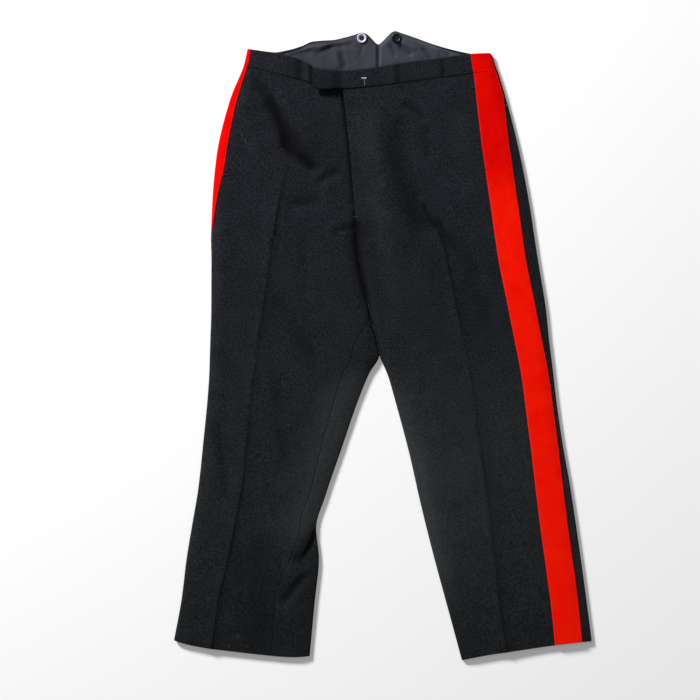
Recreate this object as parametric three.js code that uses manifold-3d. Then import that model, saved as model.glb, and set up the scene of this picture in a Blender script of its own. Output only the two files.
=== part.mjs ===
// Military dress trousers with a high fishtail back and broad side stripes, laid out flat, front uppermost.
// Millimetres. +X runs to the wearer's left, +Y from hem to waist, +Z up from the surface under the cloth.
// The origin is the centre of the cloth's footprint, on that surface.
import * as THREE from "three";
import { mergeVertices } from "three/addons/utils/BufferGeometryUtils.js";
import Module from "manifold-3d";

const wasm = await Module();
wasm.setup();

// Cloths and the clearances between them
const CLOTH = 1.6;
const BAND_CLOTH = 2.2;
const STRIPE_CLOTH = 1.0;
const LINING_CLOTH = 1.0;
const SEAM_GAP = 0.3;
const STRIPE_GAP = 0.55;
const OVERLAP_GAP = 0.6;

// A pressed side fold: its outside radius, and the length of cloth in a quarter turn of it
const FOLD_RADIUS = 2.6;
const QUARTER = (Math.PI / 2) * FOLD_RADIUS;

// Stripe, waistband, fly and fishtail
const STRIPE_HALF = 25.4;
const BAND_PROUD = 0.5;
const FLY_UNDERLAP = 35;
const TAB_LENGTH = 56;
const TAB_LIFT = 4;
const TAB_TILT = 1.5;
const TAB_RISE = 20;
const TAB_DROP = 4.5;
const TAB_SAG = 3.5;
const FISHTAIL_POINT = 30;
const LINING_INSET = 3;
const LINING_BELOW_SEAM = 20;
const LINING_SIDE = 14;

// How the upper layer stands over the lower one
const EDGE_EASE = 30;
const VALLEY_HALF = 6;
const LEAST_LIFT = -0.8;
const FLY_FADE = 48;
const FLY_DIP = 3.4;
const FLY_DIP_HALF = 5;
const CREASE_HEIGHT = 2;
const CREASE_INNER = 6;
const CREASE_OUTER = 12;

// Rows of the leg tables that name a place: the waist seam, the start of the creases, the end of the fly, the
// crotch and where its curl starts, and the apex, down to which the two legs lie edge to edge
const WAIST_SEAM = 1;
const CREASE_START = 3;
const FLY_END = 4.15;
const CURL_START = 5.7;
const CROTCH = 6;
const APEX = 8;
const APEX_GAP = 0.5;
const LEAST_STEP = 0.3;

// A table of rows with named columns, kept as one list of numbers for each column.
function table(names, rows) {
  const columns = names.split(" ").map((name, i) => [name, rows.map((row) => row[i])]);
  return Object.fromEntries(columns);
}

// Each row is a line across a leg. outer and inner are its two side folds, or above the crotch the outer fold
// and the centre front. outseam is measured round the outer fold, above 0 on top and below 0 underneath.
// inseam is measured back from the inner fold in the same way, and crease from the outer fold.
const RIGHT_LEG = table("outerX outerY innerX innerY outseam inseam crease", [
  [-248, 546, -73, 508, -18, 4, 97],
  [-256, 512, -73, 474, -17.5, 4, 101],
  [-280, 453, -67, 420, -12, 4, 116],
  [-305, 350, -59, 342, -7, 4, 131],
  [-313, 261, -51, 247, -17.5, 4, 119],
  [-316, 166, -45, 166, -27, 4, 108],
  [-316.5, 61, -23.5, 61, -30, 4.1, 94],
  [-318, 15, -14, 15, -33, 33, 88],
  [-319, -18, -6.9, -18, -36, 51, 86],
  [-320, -51, -25, -51, -37, 49.5, 82],
  [-323, -96, -45, -99, -38, 45, 79],
  [-331, -177, -76, -189, -40, 38.5, 79],
  [-340, -261, -105, -274, -39, 31, 79],
  [-351, -327, -123, -336, -40, 31, 78],
  [-362, -394, -118, -394, -43, 55, 76],
  [-371, -467, -125.5, -471, -46, 74, 68],
  [-385, -543, -135, -572, -48, 72, 68],
]);
const LEFT_LEG = table("outerX outerY innerX innerY outseam inseam crease", [
  [201, 538, -73, 508, 16.5, 4, 183],
  [212, 504, -73, 474, 21.5, 4, 187],
  [231, 440, -67, 420, 33.5, 4, 190],
  [253, 350, -59, 342, 44.5, 4, 193],
  [270.5, 258, -51, 247, 48.5, 4, 188],
  [284, 169, -45, 166, 49.5, 4, 169],
  [301, 63, -23, 61, 45.5, 4.1, 165],
  [305.5, 18, -13.5, 15, 41, -6, 159],
  [309.5, -15, -6.4, -18, 38.5, -12, 155],
  [314, -51, 9, -55, 36, -14, 153],
  [319, -96, 24, -107, 34.5, -13, 151],
  [330, -173, 48, -197, 35.5, -9, 153],
  [346, -265, 70, -294, 40.5, -6, 155],
  [360, -359, 94, -390, 42.5, -16, 158],
  [373, -453, 120, -486, 42.5, -28, 161],
  [385, -545, 145.5, -580, 45, -37, 159],
]);

// The seat seam lies this far to the wearer's left of the centre front, by row of the leg tables.
const SEAT = table("row offset", [
  [0, 64.5], [1, 64.5], [2, 58], [3, 48], [4, 33], [5, 14], [5.6, 0],
]);

// Edges of the waist across the garment: the waistband's top edge and the seam that joins it to the fronts.
const WAIST = table("x top seam", [
  [-256, 547, 513], [-222, 542, 506], [-192, 538, 498.5], [-163, 530, 491], [-141, 521, 484.5],
  [-128, 513, 480], [-97, 507.5, 473.5], [-69, 505.5, 471.5], [-32, 509, 474.5], [14, 516.5, 480],
  [60, 523.5, 486.5], [106, 529, 492], [152, 536, 498.5], [179, 537.5, 502], [212, 539, 504.5],
]);

// The top edge of the back, from the right side over the two brace points and the notch between them.
const FISHTAIL = table("x y", [
  [-256, 544], [-222, 540.5], [-202, 540.5], [-174, 545], [-149, 552.5], [-130, 560.5], [-110, 562.5],
  [-91, 563.5], [-73, 567.5], [-54, 572.5], [-38.3, 577], [-29, 574], [-20, 565], [-8.3, 555.5], [-1, 560.5],
  [8, 570], [18, 578.5], [23, 580], [32, 577], [60, 567.5], [90, 556.5], [120, 547.5], [152, 540], [176, 536],
  [212, 536],
]);

// How far the upper layer stands off the lower one, along the garment.
const PUFF = table("y height", [
  [-580, 1.8], [-420, 3.2], [-200, 3.8], [0, 4.6], [300, 5.4], [470, 4.2], [560, 3],
]);

// The largest folds of the upper layer. Each runs from one point to another, bowed to its left by bend. left
// and right are its half-widths on each side, and height is above 0 for a ridge and below 0 for a trough.
const FOLDS = table("fromX fromY toX toY bend left right height", [
  [-240, 500, -162, 344, 9, 9, 12, -6.0],
  [-188, 378, -112, 318, -4, 9, 10, -4.4],
  [-192, 488, -118, 356, -6, 14, 12, 2.6],
  [-262, 470, -214, 340, -4, 14, 16, 2.2],
  [-124, 294, -76, 322, 4, 7, 8, -2.8],
  [-174, 252, -108, 266, 3, 12, 12, -2.6],
  [-100, 288, -54, 252, 2, 7, 7, -1.8],
  [-92, 203, -48, 218, 3, 7, 8, -2.2],
  [-60, 224, -30, 56, 4, 10, 20, -2.2],
  [-137, 214, -141, 72, -4, 13, 13, -2.0],
  [-206, 84, -112, -46, 6, 15, 17, -3.2],
  [-190, -40, -168, -240, -8, 13, 16, -2.6],
  [-309, -130, -284, -292, 4, 9, 10, -2.4],
  [-324, -92, -276, -105, 3, 6, 7, -2.0],
  [-128, -416, -186, -488, -7, 7, 9, -3.2],
  [-10, 470, 40, 150, -4, 22, 26, 3.0],
  [26, 430, 92, 190, -6, 22, 22, -3.2],
  [76, 264, 100, 208, -2, 5, 6, -3.6],
  [98, 236, 144, 168, -3, 7, 9, -3.8],
  [34, 446, 82, 412, 3, 7, 8, -3.4],
  [74, 404, 84, 340, 4, 9, 9, -2.0],
  [138, 176, 190, 122, -3, 9, 12, -1.6],
]);

// The tuck at the right calf: the cloth above this line rides over the cloth below it.
const TUCK_LINE = { fromX: -119, fromY: -330, toX: -156, toY: -402 };
const TUCK = { over: 5, under: -2.2, reach: 22, dip: 10, edge: 5 };

const HEM_BOW = { right: -8, left: 3 };

// Rows of each leg table at which its solids have a line of points
const TOP_ROWS = [1, 1.4, 1.8, 2.15, 2.5, 2.85, 3.2, 3.55, 3.9, 4.25, 4.6, 5, 5.35];
const HIP_ROWS = [...TOP_ROWS, CURL_START, 5.8, 5.9, CROTCH, 6.35, 6.7, 7, 7.5, 8];
const RIGHT_ROWS = [...HIP_ROWS, 8.5, 9, 10, 10.5, 11, 11.5, 12, 12.6, 13, 13.25, 13.5, 14, 14.5, 15.2, 16];
const LEFT_ROWS = [...HIP_ROWS, 8.5, 9, 10, 10.6, 11.2, 11.8, 12.4, 13, 13.7, 14.4, 15];
const BAND_ROWS = [0, 0.33, 0.66, 0.99];
const BACK_TOP_ROWS = [0, 0.25, 0.5, 0.75];

// Smooth 0 to 1 step
function ease(t) {
  const c = Math.min(Math.max(t, 0), 1);
  return c * c * (3 - 2 * c);
}

function mix(a, b, t) {
  return a + (b - a) * t;
}

// A curve through the points (xs, ys) that never swings past them, straight beyond its ends.
function smoothCurve(xs, ys) {
  const last = xs.length - 1;
  const width = (i) => xs[i + 1] - xs[i];
  const rise = (i) => (ys[i + 1] - ys[i]) / width(i);
  const slopes = xs.map((_, i) => {
    if (i === 0) return rise(0);
    if (i === last) return rise(last - 1);
    if (rise(i - 1) * rise(i) <= 0) return 0;
    const before = 2 * width(i) + width(i - 1);
    const after = width(i) + 2 * width(i - 1);
    return (before + after) / (before / rise(i - 1) + after / rise(i));
  });
  return (x) => {
    if (x <= xs[0]) return ys[0] + slopes[0] * (x - xs[0]);
    if (x >= xs[last]) return ys[last] + slopes[last] * (x - xs[last]);
    let i = 0;
    while (x > xs[i + 1]) i += 1;
    const t = (x - xs[i]) / width(i);
    const bend = t * (1 - t) * width(i);
    return mix(ys[i], ys[i + 1], ease(t)) + bend * ((1 - t) * slopes[i] - t * slopes[i + 1]);
  };
}

const waistTop = smoothCurve(WAIST.x, WAIST.top);
const waistSeam = smoothCurve(WAIST.x, WAIST.seam);
const fishtailEdge = smoothCurve(FISHTAIL.x, FISHTAIL.y);
const seatOffset = smoothCurve(SEAT.row, SEAT.offset);
const puffHeight = smoothCurve(PUFF.y, PUFF.height);

// A leg: each column of its table as a smooth curve over the row number.
function makeLeg(side, columns, rows) {
  const numbers = columns.outerX.map((_, i) => i);
  const curves = Object.entries(columns).map(([name, ys]) => [name, smoothCurve(numbers, ys)]);
  return { side, rows, last: numbers.length - 1, hemBow: HEM_BOW[side], ...Object.fromEntries(curves) };
}

const leftLeg = makeLeg("left", LEFT_LEG, LEFT_ROWS);
const ownRight = makeLeg("right", RIGHT_LEG, RIGHT_ROWS);

// Down to the apex between the legs, the right leg's inner side lies edge to edge with the left one's.
function besideLeft(row) {
  return leftLeg.innerX(row) - APEX_GAP * ease(row - CURL_START + 0.7);
}

const rightLeg = {
  ...ownRight,
  innerX: (row) => (row < APEX ? besideLeft(row) : ownRight.innerX(row)),
  innerY: (row) => (row < APEX ? leftLeg.innerY(row) : ownRight.innerY(row)),
};

// The line across a leg at one row, for its upper layer, which ends at the centre front, and its lower, which
// ends at the seat seam. half is the length of cloth from one side fold to the other.
function across(leg, row, upper) {
  const x = leg.outerX(row);
  const y = leg.outerY(row);
  const shift = upper || row >= CURL_START ? 0 : seatOffset(row);
  const dx = leg.innerX(row) + shift - x;
  const dy = leg.innerY(row) - y;
  const width = Math.hypot(dx, dy);
  return { x, y, dx: dx / width, dy: dy / width, width, half: width - 2 * FOLD_RADIUS + 2 * QUARTER };
}

// The waist seam and the hem are curved. This moves a point of a straight row onto them, and fades away.
function bowOf(leg, row, upper, x, share) {
  const hem = leg.hemBow * ease(row - leg.last + 1) * (1 - (2 * Math.min(Math.max(share, 0), 1) - 1) ** 4);
  const first = across(leg, WAIST_SEAM, upper);
  const straight = first.y + ((x - first.x) * first.dy) / first.dx;
  return hem + (waistSeam(x) - straight) * (1 - ease((row - WAIST_SEAM) / 1.5));
}

function edgeEase(distance) {
  return 1 - (1 - Math.min(Math.max(distance / EDGE_EASE, 0), 1)) ** 2;
}

// The height of one fold at a point: a bell across the fold, which fades at its two ends.
function foldHeight(i, x, y) {
  const dx = FOLDS.toX[i] - FOLDS.fromX[i];
  const dy = FOLDS.toY[i] - FOLDS.fromY[i];
  const length = Math.hypot(dx, dy);
  const px = x - FOLDS.fromX[i];
  const py = y - FOLDS.fromY[i];
  const t = (px * dx + py * dy) / (length * length);
  if (t <= 0 || t >= 1) return 0;
  const hump = 4 * t * (1 - t);
  const off = (dx * py - dy * px) / length - FOLDS.bend[i] * hump;
  const half = off > 0 ? FOLDS.left[i] : FOLDS.right[i];
  return FOLDS.height[i] * Math.min(1, 1.6 * hump) * Math.exp(-((off / half) ** 2));
}

// The calf tuck: cloth stands up on one side of the line, drops over it and dips on the other side.
function tuckHeight(x, y) {
  const dx = TUCK_LINE.toX - TUCK_LINE.fromX;
  const dy = TUCK_LINE.toY - TUCK_LINE.fromY;
  const length = Math.hypot(dx, dy);
  const px = x - TUCK_LINE.fromX;
  const py = y - TUCK_LINE.fromY;
  const t = (px * dx + py * dy) / (length * length);
  const off = (dy * px - dx * py) / length;
  const along = ease((t + 0.25) / 0.3) * (1 - ease((t - 0.3) / 0.75));
  const over = TUCK.over * Math.exp(-Math.max(off, 0) / TUCK.reach);
  const under = TUCK.under * Math.exp(Math.min(off, 0) / TUCK.dip);
  return along * mix(under, over, ease(off / TUCK.edge + 0.5));
}

// The right front sinks along the edge of the left one that laps over it.
function flyDip(row, past) {
  const along = ease((row - WAIST_SEAM) / 0.3) * (1 - ease((row - FLY_END) / 0.5));
  return FLY_DIP * along * Math.exp(-((past / FLY_DIP_HALF) ** 2));
}

// The share of its height that the upper layer has near its inner end: a narrow valley at the crotch seam,
// which opens to a side fold below the crotch.
function innerEase(row, distance) {
  const valley = 1 - Math.exp(-((distance / VALLEY_HALF) ** 2));
  const fold = mix(valley, edgeEase(distance), ease((row - CROTCH) / 1.5));
  return mix(1, fold, ease((row - FLY_END) / 0.6));
}

// How high the upper layer stands over its rest height at a point p along a row.
function liftOf(leg, row, p, width, x, y) {
  const side = edgeEase(p) * innerEase(row, width - p);
  const off = p - leg.crease(row);
  const reach = off > 0 ? CREASE_INNER : CREASE_OUTER;
  const crease = ease((row - CREASE_START) / 1.2) * Math.exp(-Math.abs(off) / reach);
  let folds = FOLDS.height.reduce((sum, _, i) => sum + foldHeight(i, x, y), 0);
  if (leg.side === "right") folds += tuckHeight(x, y) - flyDip(row, width - p);
  return Math.max(side * (puffHeight(y) + CREASE_HEIGHT * crease + folds), LEAST_LIFT);
}

// The left front laps over the right one at the fly, so it stands one cloth higher there.
function flyLift(leg, row, past) {
  if (leg.side === "right" || row < WAIST_SEAM) return 0;
  const fade = 1 - ease((past - FLY_UNDERLAP - 4) / FLY_FADE);
  return (CLOTH + OVERLAP_GAP) * fade * (1 - ease((row - FLY_END) / 0.8));
}

// Where the right stripe passes under the leg, the cloth over it is lifted clear of the surface.
function liftedByStripe(leg, row, q, p) {
  if (leg.side === "left") return 0;
  const height = STRIPE_CLOTH + STRIPE_GAP;
  if (q >= 0) return height * (1 - ease(p / 40));
  return height * (1 - ease((-q - (STRIPE_HALF - leg.outseam(row)) - 3) / 8));
}

// A point of the leg's cloth. q is measured round the outer fold from its crest, over the top when above 0
// and underneath when below 0. out is the distance outside the cloth's outer face. On a closed leg, q runs on
// round the inner fold.
function clothPoint(leg, row, q, out, closed) {
  const half = across(leg, row, true).half;
  let s = q;
  if (closed && s > half) s -= 2 * half;
  if (closed && s < -half) s += 2 * half;
  const upper = s >= 0;
  const line = across(leg, row, upper);
  const length = Math.abs(s);
  const radius = FOLD_RADIUS + out;
  let p = FOLD_RADIUS + length - QUARTER;
  let rise = radius;
  if (length < QUARTER) {
    p = FOLD_RADIUS - radius * Math.cos(length / FOLD_RADIUS);
    rise = radius * Math.sin(length / FOLD_RADIUS);
  } else if (closed && length > half - QUARTER) {
    p = line.width - FOLD_RADIUS + radius * Math.cos((half - length) / FOLD_RADIUS);
    rise = radius * Math.sin((half - length) / FOLD_RADIUS);
  }
  const x = line.x + line.dx * p;
  let y = line.y + line.dy * p;
  if (row < WAIST_SEAM) y = mix(waistTop(x), waistSeam(x), row);
  else y += bowOf(leg, row, upper, x, p / line.width);
  const lift = upper ? liftOf(leg, row, p, line.width, x, y) + flyLift(leg, row, line.width - p) : 0;
  const z = FOLD_RADIUS + (upper ? rise : -rise) + liftedByStripe(leg, row, s, p) + lift;
  return new THREE.Vector3(x, y, z);
}

// Stations from lo to hi: the marks between them, each kept a least step from its neighbours and both ends.
function stations(lo, hi, marks) {
  const inner = marks.map((mark, i) => {
    const low = lo + LEAST_STEP * (i + 1);
    const high = hi - LEAST_STEP * (marks.length - i);
    return Math.min(Math.max(mark, low), high);
  });
  return [lo, ...inner, hi];
}

// Points that part the stretch from one value to another into equal steps, without its two ends.
function between(from, to, count) {
  return Array.from({ length: count - 1 }, (_, i) => mix(from, to, (i + 1) / count));
}

// Where the front ends: at the fly with its underlap, at the crotch seam, and below the crotch at the inseam.
function frontEnd(leg, row) {
  const { half } = across(leg, row, true);
  const centre = half - QUARTER + FOLD_RADIUS - SEAM_GAP / 2;
  const crotch = half - QUARTER - SEAM_GAP;
  if (row >= CROTCH) return half - leg.inseam(row) - SEAM_GAP - (row < CROTCH + 0.01 ? SEAM_GAP / 2 : 0);
  if (row >= CURL_START) return mix(centre, crotch, (row - CURL_START) / (CROTCH - CURL_START));
  const underlap = leg.side === "right" ? FLY_UNDERLAP * (1 - ease((row - FLY_END + 0.5) / 0.45)) : 0;
  return centre + underlap;
}

// Where the back ends: at the seat seam, which curls up round the inner fold at the crotch, and the inseam.
function backEnd(leg, row) {
  const upper = across(leg, row, true).half;
  if (row >= CROTCH) return upper + leg.inseam(row) - SEAM_GAP / 2;
  if (row >= CURL_START) {
    const share = (row - CURL_START) / (CROTCH - CURL_START);
    return upper + mix(-QUARTER, QUARTER - SEAM_GAP / 2, share);
  }
  return across(leg, row, false).width - FOLD_RADIUS + QUARTER - SEAM_GAP / 2;
}

const OUTER_FOLD = [-QUARTER, -QUARTER / 2, 0, QUARTER / 2, QUARTER];

// The stations round the inner fold, for a leg whose fold crest is half away.
function innerFold(half) {
  return OUTER_FOLD.map((q) => half + q);
}

function frontStations(leg, row, end) {
  const seam = leg.outseam(row) + SEAM_GAP / 2;
  const { half } = across(leg, row, true);
  const crease = leg.crease(row) + QUARTER - FOLD_RADIUS;
  const centre = half - QUARTER + FOLD_RADIUS - SEAM_GAP / 2;
  if (leg.side === "right") {
    const under = (seam - QUARTER) / 2;
    const fold = [under, ...OUTER_FOLD, 12, 22];
    const outer = [...between(22, crease, 4), crease];
    const inner = between(crease, Math.min(end, centre), 9);
    return stations(seam, end, [...fold, ...outer, ...inner, centre, centre + FLY_UNDERLAP / 2]);
  }
  const edge = seam + STRIPE_HALF;
  const outer = [seam + STRIPE_HALF / 2, edge, ...between(edge, crease, 5), crease];
  return stations(seam, end, [...outer, ...between(crease, half - QUARTER, 10), ...innerFold(half)]);
}

// The back's stations, counted the other way: above 0 underneath and below 0 on top.
function backStations(leg, row) {
  const seam = SEAM_GAP / 2 - leg.outseam(row);
  const { half } = across(leg, row, true);
  const end = backEnd(leg, row);
  const flatEnd = Math.min(end, half - QUARTER);
  const point = flatEnd - FISHTAIL_POINT;
  const inner = [point, flatEnd - FISHTAIL_POINT / 2, ...innerFold(half), ...between(half + QUARTER, end, 3)];
  if (leg.side === "right") {
    const edge = STRIPE_HALF - leg.outseam(row);
    return stations(seam, end, [edge + 3, edge + 11, ...between(edge + 11, point, 5), ...inner]);
  }
  const edge = -stripeBack(leg, row);
  const outer = [(seam + edge) / 2, edge, ...OUTER_FOLD];
  return stations(seam, end, [...outer, ...between(QUARTER, point, 5), ...inner]);
}

// The stripe's back edge. Where the left stripe would pass over the side fold at the waist, it is cut there.
function stripeBack(leg, row) {
  const edge = leg.outseam(row) - STRIPE_HALF;
  return leg.side === "left" ? Math.max(edge, QUARTER + 0.4) : edge;
}

function stripeStations(leg, row) {
  const back = stripeBack(leg, row);
  const seam = leg.outseam(row);
  const front = seam + STRIPE_HALF;
  if (leg.side === "left") return stations(back, front, [(seam + back) / 2, seam, seam + STRIPE_HALF / 2]);
  return stations(back, front, [...between(back, seam, 2), seam, ...OUTER_FOLD, 12]);
}

// A closed solid between two grids of points with rows of equal length: one face is the outer grid, the other
// the inner.
function wallBetween(outer, inner) {
  const rows = outer.length;
  const columns = outer[0].length;
  const last = columns - 1;
  const points = [...outer.flat(), ...inner.flat()];
  const index = [];
  const quad = (a, b, c, d) => index.push(a, b, c, a, c, d);
  const at = (face, r, c) => face * rows * columns + r * columns + c;
  for (let r = 0; r < rows - 1; r += 1) {
    for (let c = 0; c < columns - 1; c += 1) {
      quad(at(0, r, c), at(0, r, c + 1), at(0, r + 1, c + 1), at(0, r + 1, c));
      quad(at(1, r, c), at(1, r + 1, c), at(1, r + 1, c + 1), at(1, r, c + 1));
    }
    quad(at(0, r, 0), at(0, r + 1, 0), at(1, r + 1, 0), at(1, r, 0));
    quad(at(0, r + 1, last), at(0, r, last), at(1, r, last), at(1, r + 1, last));
  }
  for (let c = 0; c < columns - 1; c += 1) {
    quad(at(0, 0, c + 1), at(0, 0, c), at(1, 0, c), at(1, 0, c + 1));
    quad(at(0, rows - 1, c), at(0, rows - 1, c + 1), at(1, rows - 1, c + 1), at(1, rows - 1, c));
  }
  const volume = index.reduce((sum, _, i) => {
    if (i % 3) return sum;
    const [a, b, c] = [0, 1, 2].map((k) => points[index[i + k]]);
    return sum + a.dot(new THREE.Vector3().crossVectors(b, c));
  }, 0);
  if (volume < 0) index.reverse();
  const geometry = new THREE.BufferGeometry().setFromPoints(points);
  geometry.setIndex(index);
  geometry.computeVertexNormals();
  return geometry;
}

// A wall of cloth with a line of points at each row. out is the distance of its outer face, and it is thick.
function clothWall(rows, stationsAt, pointAt, out, thick) {
  const faces = [out, out - thick].map((distance) =>
    rows.map((row) => stationsAt(row).map((q) => pointAt(row, q, distance))),
  );
  return wallBetween(...faces);
}

function frontPanel(leg) {
  const stationsAt = (row) => frontStations(leg, row, frontEnd(leg, row));
  const pointAt = (row, q, out) => clothPoint(leg, row, q, out, row >= CROTCH);
  return clothWall(leg.rows, stationsAt, pointAt, 0, CLOTH);
}

// A point of the back above the waist seam: the same rows, stretched up to the fishtail's edge less an inset.
function fishtailPoint(leg, row, q, out, inset) {
  const point = clothPoint(leg, row, q, out, false);
  point.y = mix(fishtailEdge(point.x) - inset, waistSeam(point.x), row);
  return point;
}

function backPanel(leg) {
  const rows = [...BACK_TOP_ROWS, ...leg.rows];
  const pointAt = (row, q, out) => {
    if (row < WAIST_SEAM) return fishtailPoint(leg, row, -q, out, 0);
    return clothPoint(leg, row, -q, out, row >= CURL_START);
  };
  return clothWall(rows, (row) => backStations(leg, row), pointAt, 0, CLOTH);
}

// The waistband's outer face stands a little proud of the fronts away from the stripes.
function bandPoint(leg, row, q, out, extra) {
  const point = clothPoint(leg, row, q, out, false);
  const p = Math.abs(q) + FOLD_RADIUS - QUARTER;
  point.z += BAND_PROUD * ease((p - 55) / 15) + extra;
  return point;
}

// The right half of the waistband, which runs on under the left half at the fly.
function rightBand() {
  const leg = rightLeg;
  const end = (row) => across(leg, row, true).half - QUARTER + FOLD_RADIUS + FLY_UNDERLAP;
  const pointAt = (row, q, out) => bandPoint(leg, row, q, out, 0);
  return clothWall(BAND_ROWS, (row) => frontStations(leg, row, end(row)), pointAt, 0, BAND_CLOTH);
}

// The left half, which laps over the fly and ends in the tab. The tab hangs, and its lower edge stands up most.
function leftBand() {
  const leg = leftLeg;
  const stationsAt = (row) => {
    const centre = across(leg, row, true).half - QUARTER + FOLD_RADIUS;
    const lap = centre - FLY_UNDERLAP;
    const seam = leg.outseam(row) + SEAM_GAP;
    const edge = seam + STRIPE_HALF;
    const end = centre + TAB_LENGTH;
    const front = [seam + STRIPE_HALF / 2, edge, ...between(edge, lap, 8), lap];
    return stations(seam, end, [...front, ...between(lap, centre, 3), centre, ...between(centre, end, 4)]);
  };
  const pointAt = (row, q, out) => {
    const past = across(leg, row, true).width - (q + FOLD_RADIUS - QUARTER);
    const lap = (BAND_CLOTH + OVERLAP_GAP) * (1 - ease((past - FLY_UNDERLAP - 4) / FLY_FADE));
    const rise = (TAB_LIFT + TAB_TILT * row) * ease(-past / TAB_RISE);
    const point = bandPoint(leg, row, q, out, lap + rise);
    point.y -= (TAB_DROP + TAB_SAG * row) * ease(-past / TAB_LENGTH);
    return point;
  };
  return clothWall(BAND_ROWS, stationsAt, pointAt, 0, BAND_CLOTH);
}

function stripeOn(leg, rows) {
  const stationsAt = (row) => stripeStations(leg, row);
  const pointAt = (row, q, out) => clothPoint(leg, row, q, out, false);
  return clothWall(rows, stationsAt, pointAt, STRIPE_GAP + STRIPE_CLOTH, STRIPE_CLOTH);
}

// The lining lies on the inner face of the back, from just under its top edge to below the waist seam.
function liningOn(leg) {
  const stationsAt = (row) => {
    const first = QUARTER + LINING_SIDE;
    const end = across(leg, row, false).width - FOLD_RADIUS + QUARTER - SEAM_GAP;
    const point = end - FISHTAIL_POINT;
    const step = STRIPE_HALF - leg.outseam(row) + 3;
    const rightMarks = [step, step + 8, ...between(step + 8, point, 6)];
    const near = leg.side === "right" ? rightMarks : between(first, point, 8);
    return stations(first, end, [...near, point, end - FISHTAIL_POINT / 2]);
  };
  const pointAt = (row, q, out) => {
    const point = fishtailPoint(leg, row, -q, out, LINING_INSET);
    point.y -= LINING_BELOW_SEAM * row;
    return point;
  };
  return clothWall([0, 0.25, 0.5, 0.75, 1], stationsAt, pointAt, -CLOTH - SEAM_GAP, LINING_CLOTH);
}

// A solid for cutting, from a closed three.js geometry
function solidOf(geometry) {
  const bare = geometry.clone();
  bare.deleteAttribute("normal");
  bare.deleteAttribute("uv");
  const merged = mergeVertices(bare, 1e-4);
  const vertProperties = merged.attributes.position.array;
  const triVerts = new Uint32Array(merged.index.array);
  return new wasm.Manifold(new wasm.Mesh({ numProp: 3, vertProperties, triVerts }));
}

function geometryOf(solid) {
  const mesh = solid.getMesh();
  const geometry = new THREE.BufferGeometry();
  geometry.setAttribute("position", new THREE.BufferAttribute(mesh.vertProperties, 3));
  geometry.setIndex(new THREE.BufferAttribute(mesh.triVerts, 1));
  geometry.computeVertexNormals();
  return geometry;
}

// Brace buttons: a dished disc with a raised rim and four sewing holes, on the lining at each brace point.
const BUTTONS = table("x y radius", [
  [-39, 566, 9.5],
  [24.5, 566, 9],
]);
const BUTTON_THICK = 3.2;
const BUTTON_HOLE = 1.0;
const BUTTON_HOLE_OFFSET = 1.7;
const BUTTON_SIDES = 24;
const BUTTON_SEAT = CLOTH + SEAM_GAP + LINING_CLOTH + SEAM_GAP;

function buttonGeometry(radius) {
  const profile = [
    [0, 0], [0.72, 0], [0.95, 0.7], [1, 1.5], [0.97, 2.4], [0.86, BUTTON_THICK],
    [0.7, BUTTON_THICK - 0.1], [0.56, BUTTON_THICK - 0.9], [0, BUTTON_THICK - 1.1],
  ].map(([share, z]) => new THREE.Vector2(share * radius, z));
  const lathe = new THREE.LatheGeometry(profile, BUTTON_SIDES).rotateX(Math.PI / 2);
  let solid = solidOf(lathe);
  if (solid.volume() < 0) throw new Error("the button's profile runs the wrong way");
  for (const sx of [-1, 1]) {
    for (const sy of [-1, 1]) {
      const hole = new THREE.CylinderGeometry(BUTTON_HOLE, BUTTON_HOLE, 3 * BUTTON_THICK, 8);
      hole.rotateX(Math.PI / 2).translate(sx * BUTTON_HOLE_OFFSET, sy * BUTTON_HOLE_OFFSET, 0);
      solid = solid.subtract(solidOf(hole));
    }
  }
  return geometryOf(solid);
}

const wool = { color: 0x222427, roughness: 0.92, metalness: 0 };
const stripeCloth = { color: 0xee1408, roughness: 0.85, metalness: 0 };
const liningCloth = { color: 0x3e414c, roughness: 0.6, metalness: 0 };
const blackHorn = { color: 0x15161a, roughness: 0.35, metalness: 0 };

const trousers = new THREE.Group();

function addPiece(name, geometry, finish) {
  const mesh = new THREE.Mesh(geometry, new THREE.MeshStandardMaterial(finish));
  mesh.name = name;
  trousers.add(mesh);
  return mesh;
}

for (const leg of [rightLeg, leftLeg]) {
  addPiece(`front_${leg.side}`, frontPanel(leg), wool);
  addPiece(`back_${leg.side}`, backPanel(leg), wool);
  addPiece(`stripe_${leg.side}`, stripeOn(leg, leg.rows), stripeCloth);
  addPiece(`stripe_${leg.side}_band`, stripeOn(leg, BAND_ROWS), stripeCloth);
  addPiece(`lining_${leg.side}`, liningOn(leg), liningCloth);
}
addPiece("waistband_right", rightBand(), wool);
addPiece("waistband_left", leftBand(), wool);
["right", "left"].forEach((side, i) => {
  const button = addPiece(`brace_button_${side}`, buttonGeometry(BUTTONS.radius[i]), blackHorn);
  button.position.set(BUTTONS.x[i], BUTTONS.y[i], BUTTON_SEAT);
});

export default trousers;
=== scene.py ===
# %% [markdown]
# These are military dress trousers: black barathea wool, a broad scarlet stripe over each side
# seam, a waistband with a tab over the fly, and a back that rises into two points for braces. They
# lie flat with the front uppermost. The solid parts were made first, for size and weight. They load
# as a fixed frame, and finer cloth replaces each one.

# %% Load the solid parts and keep their box
import math

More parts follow.
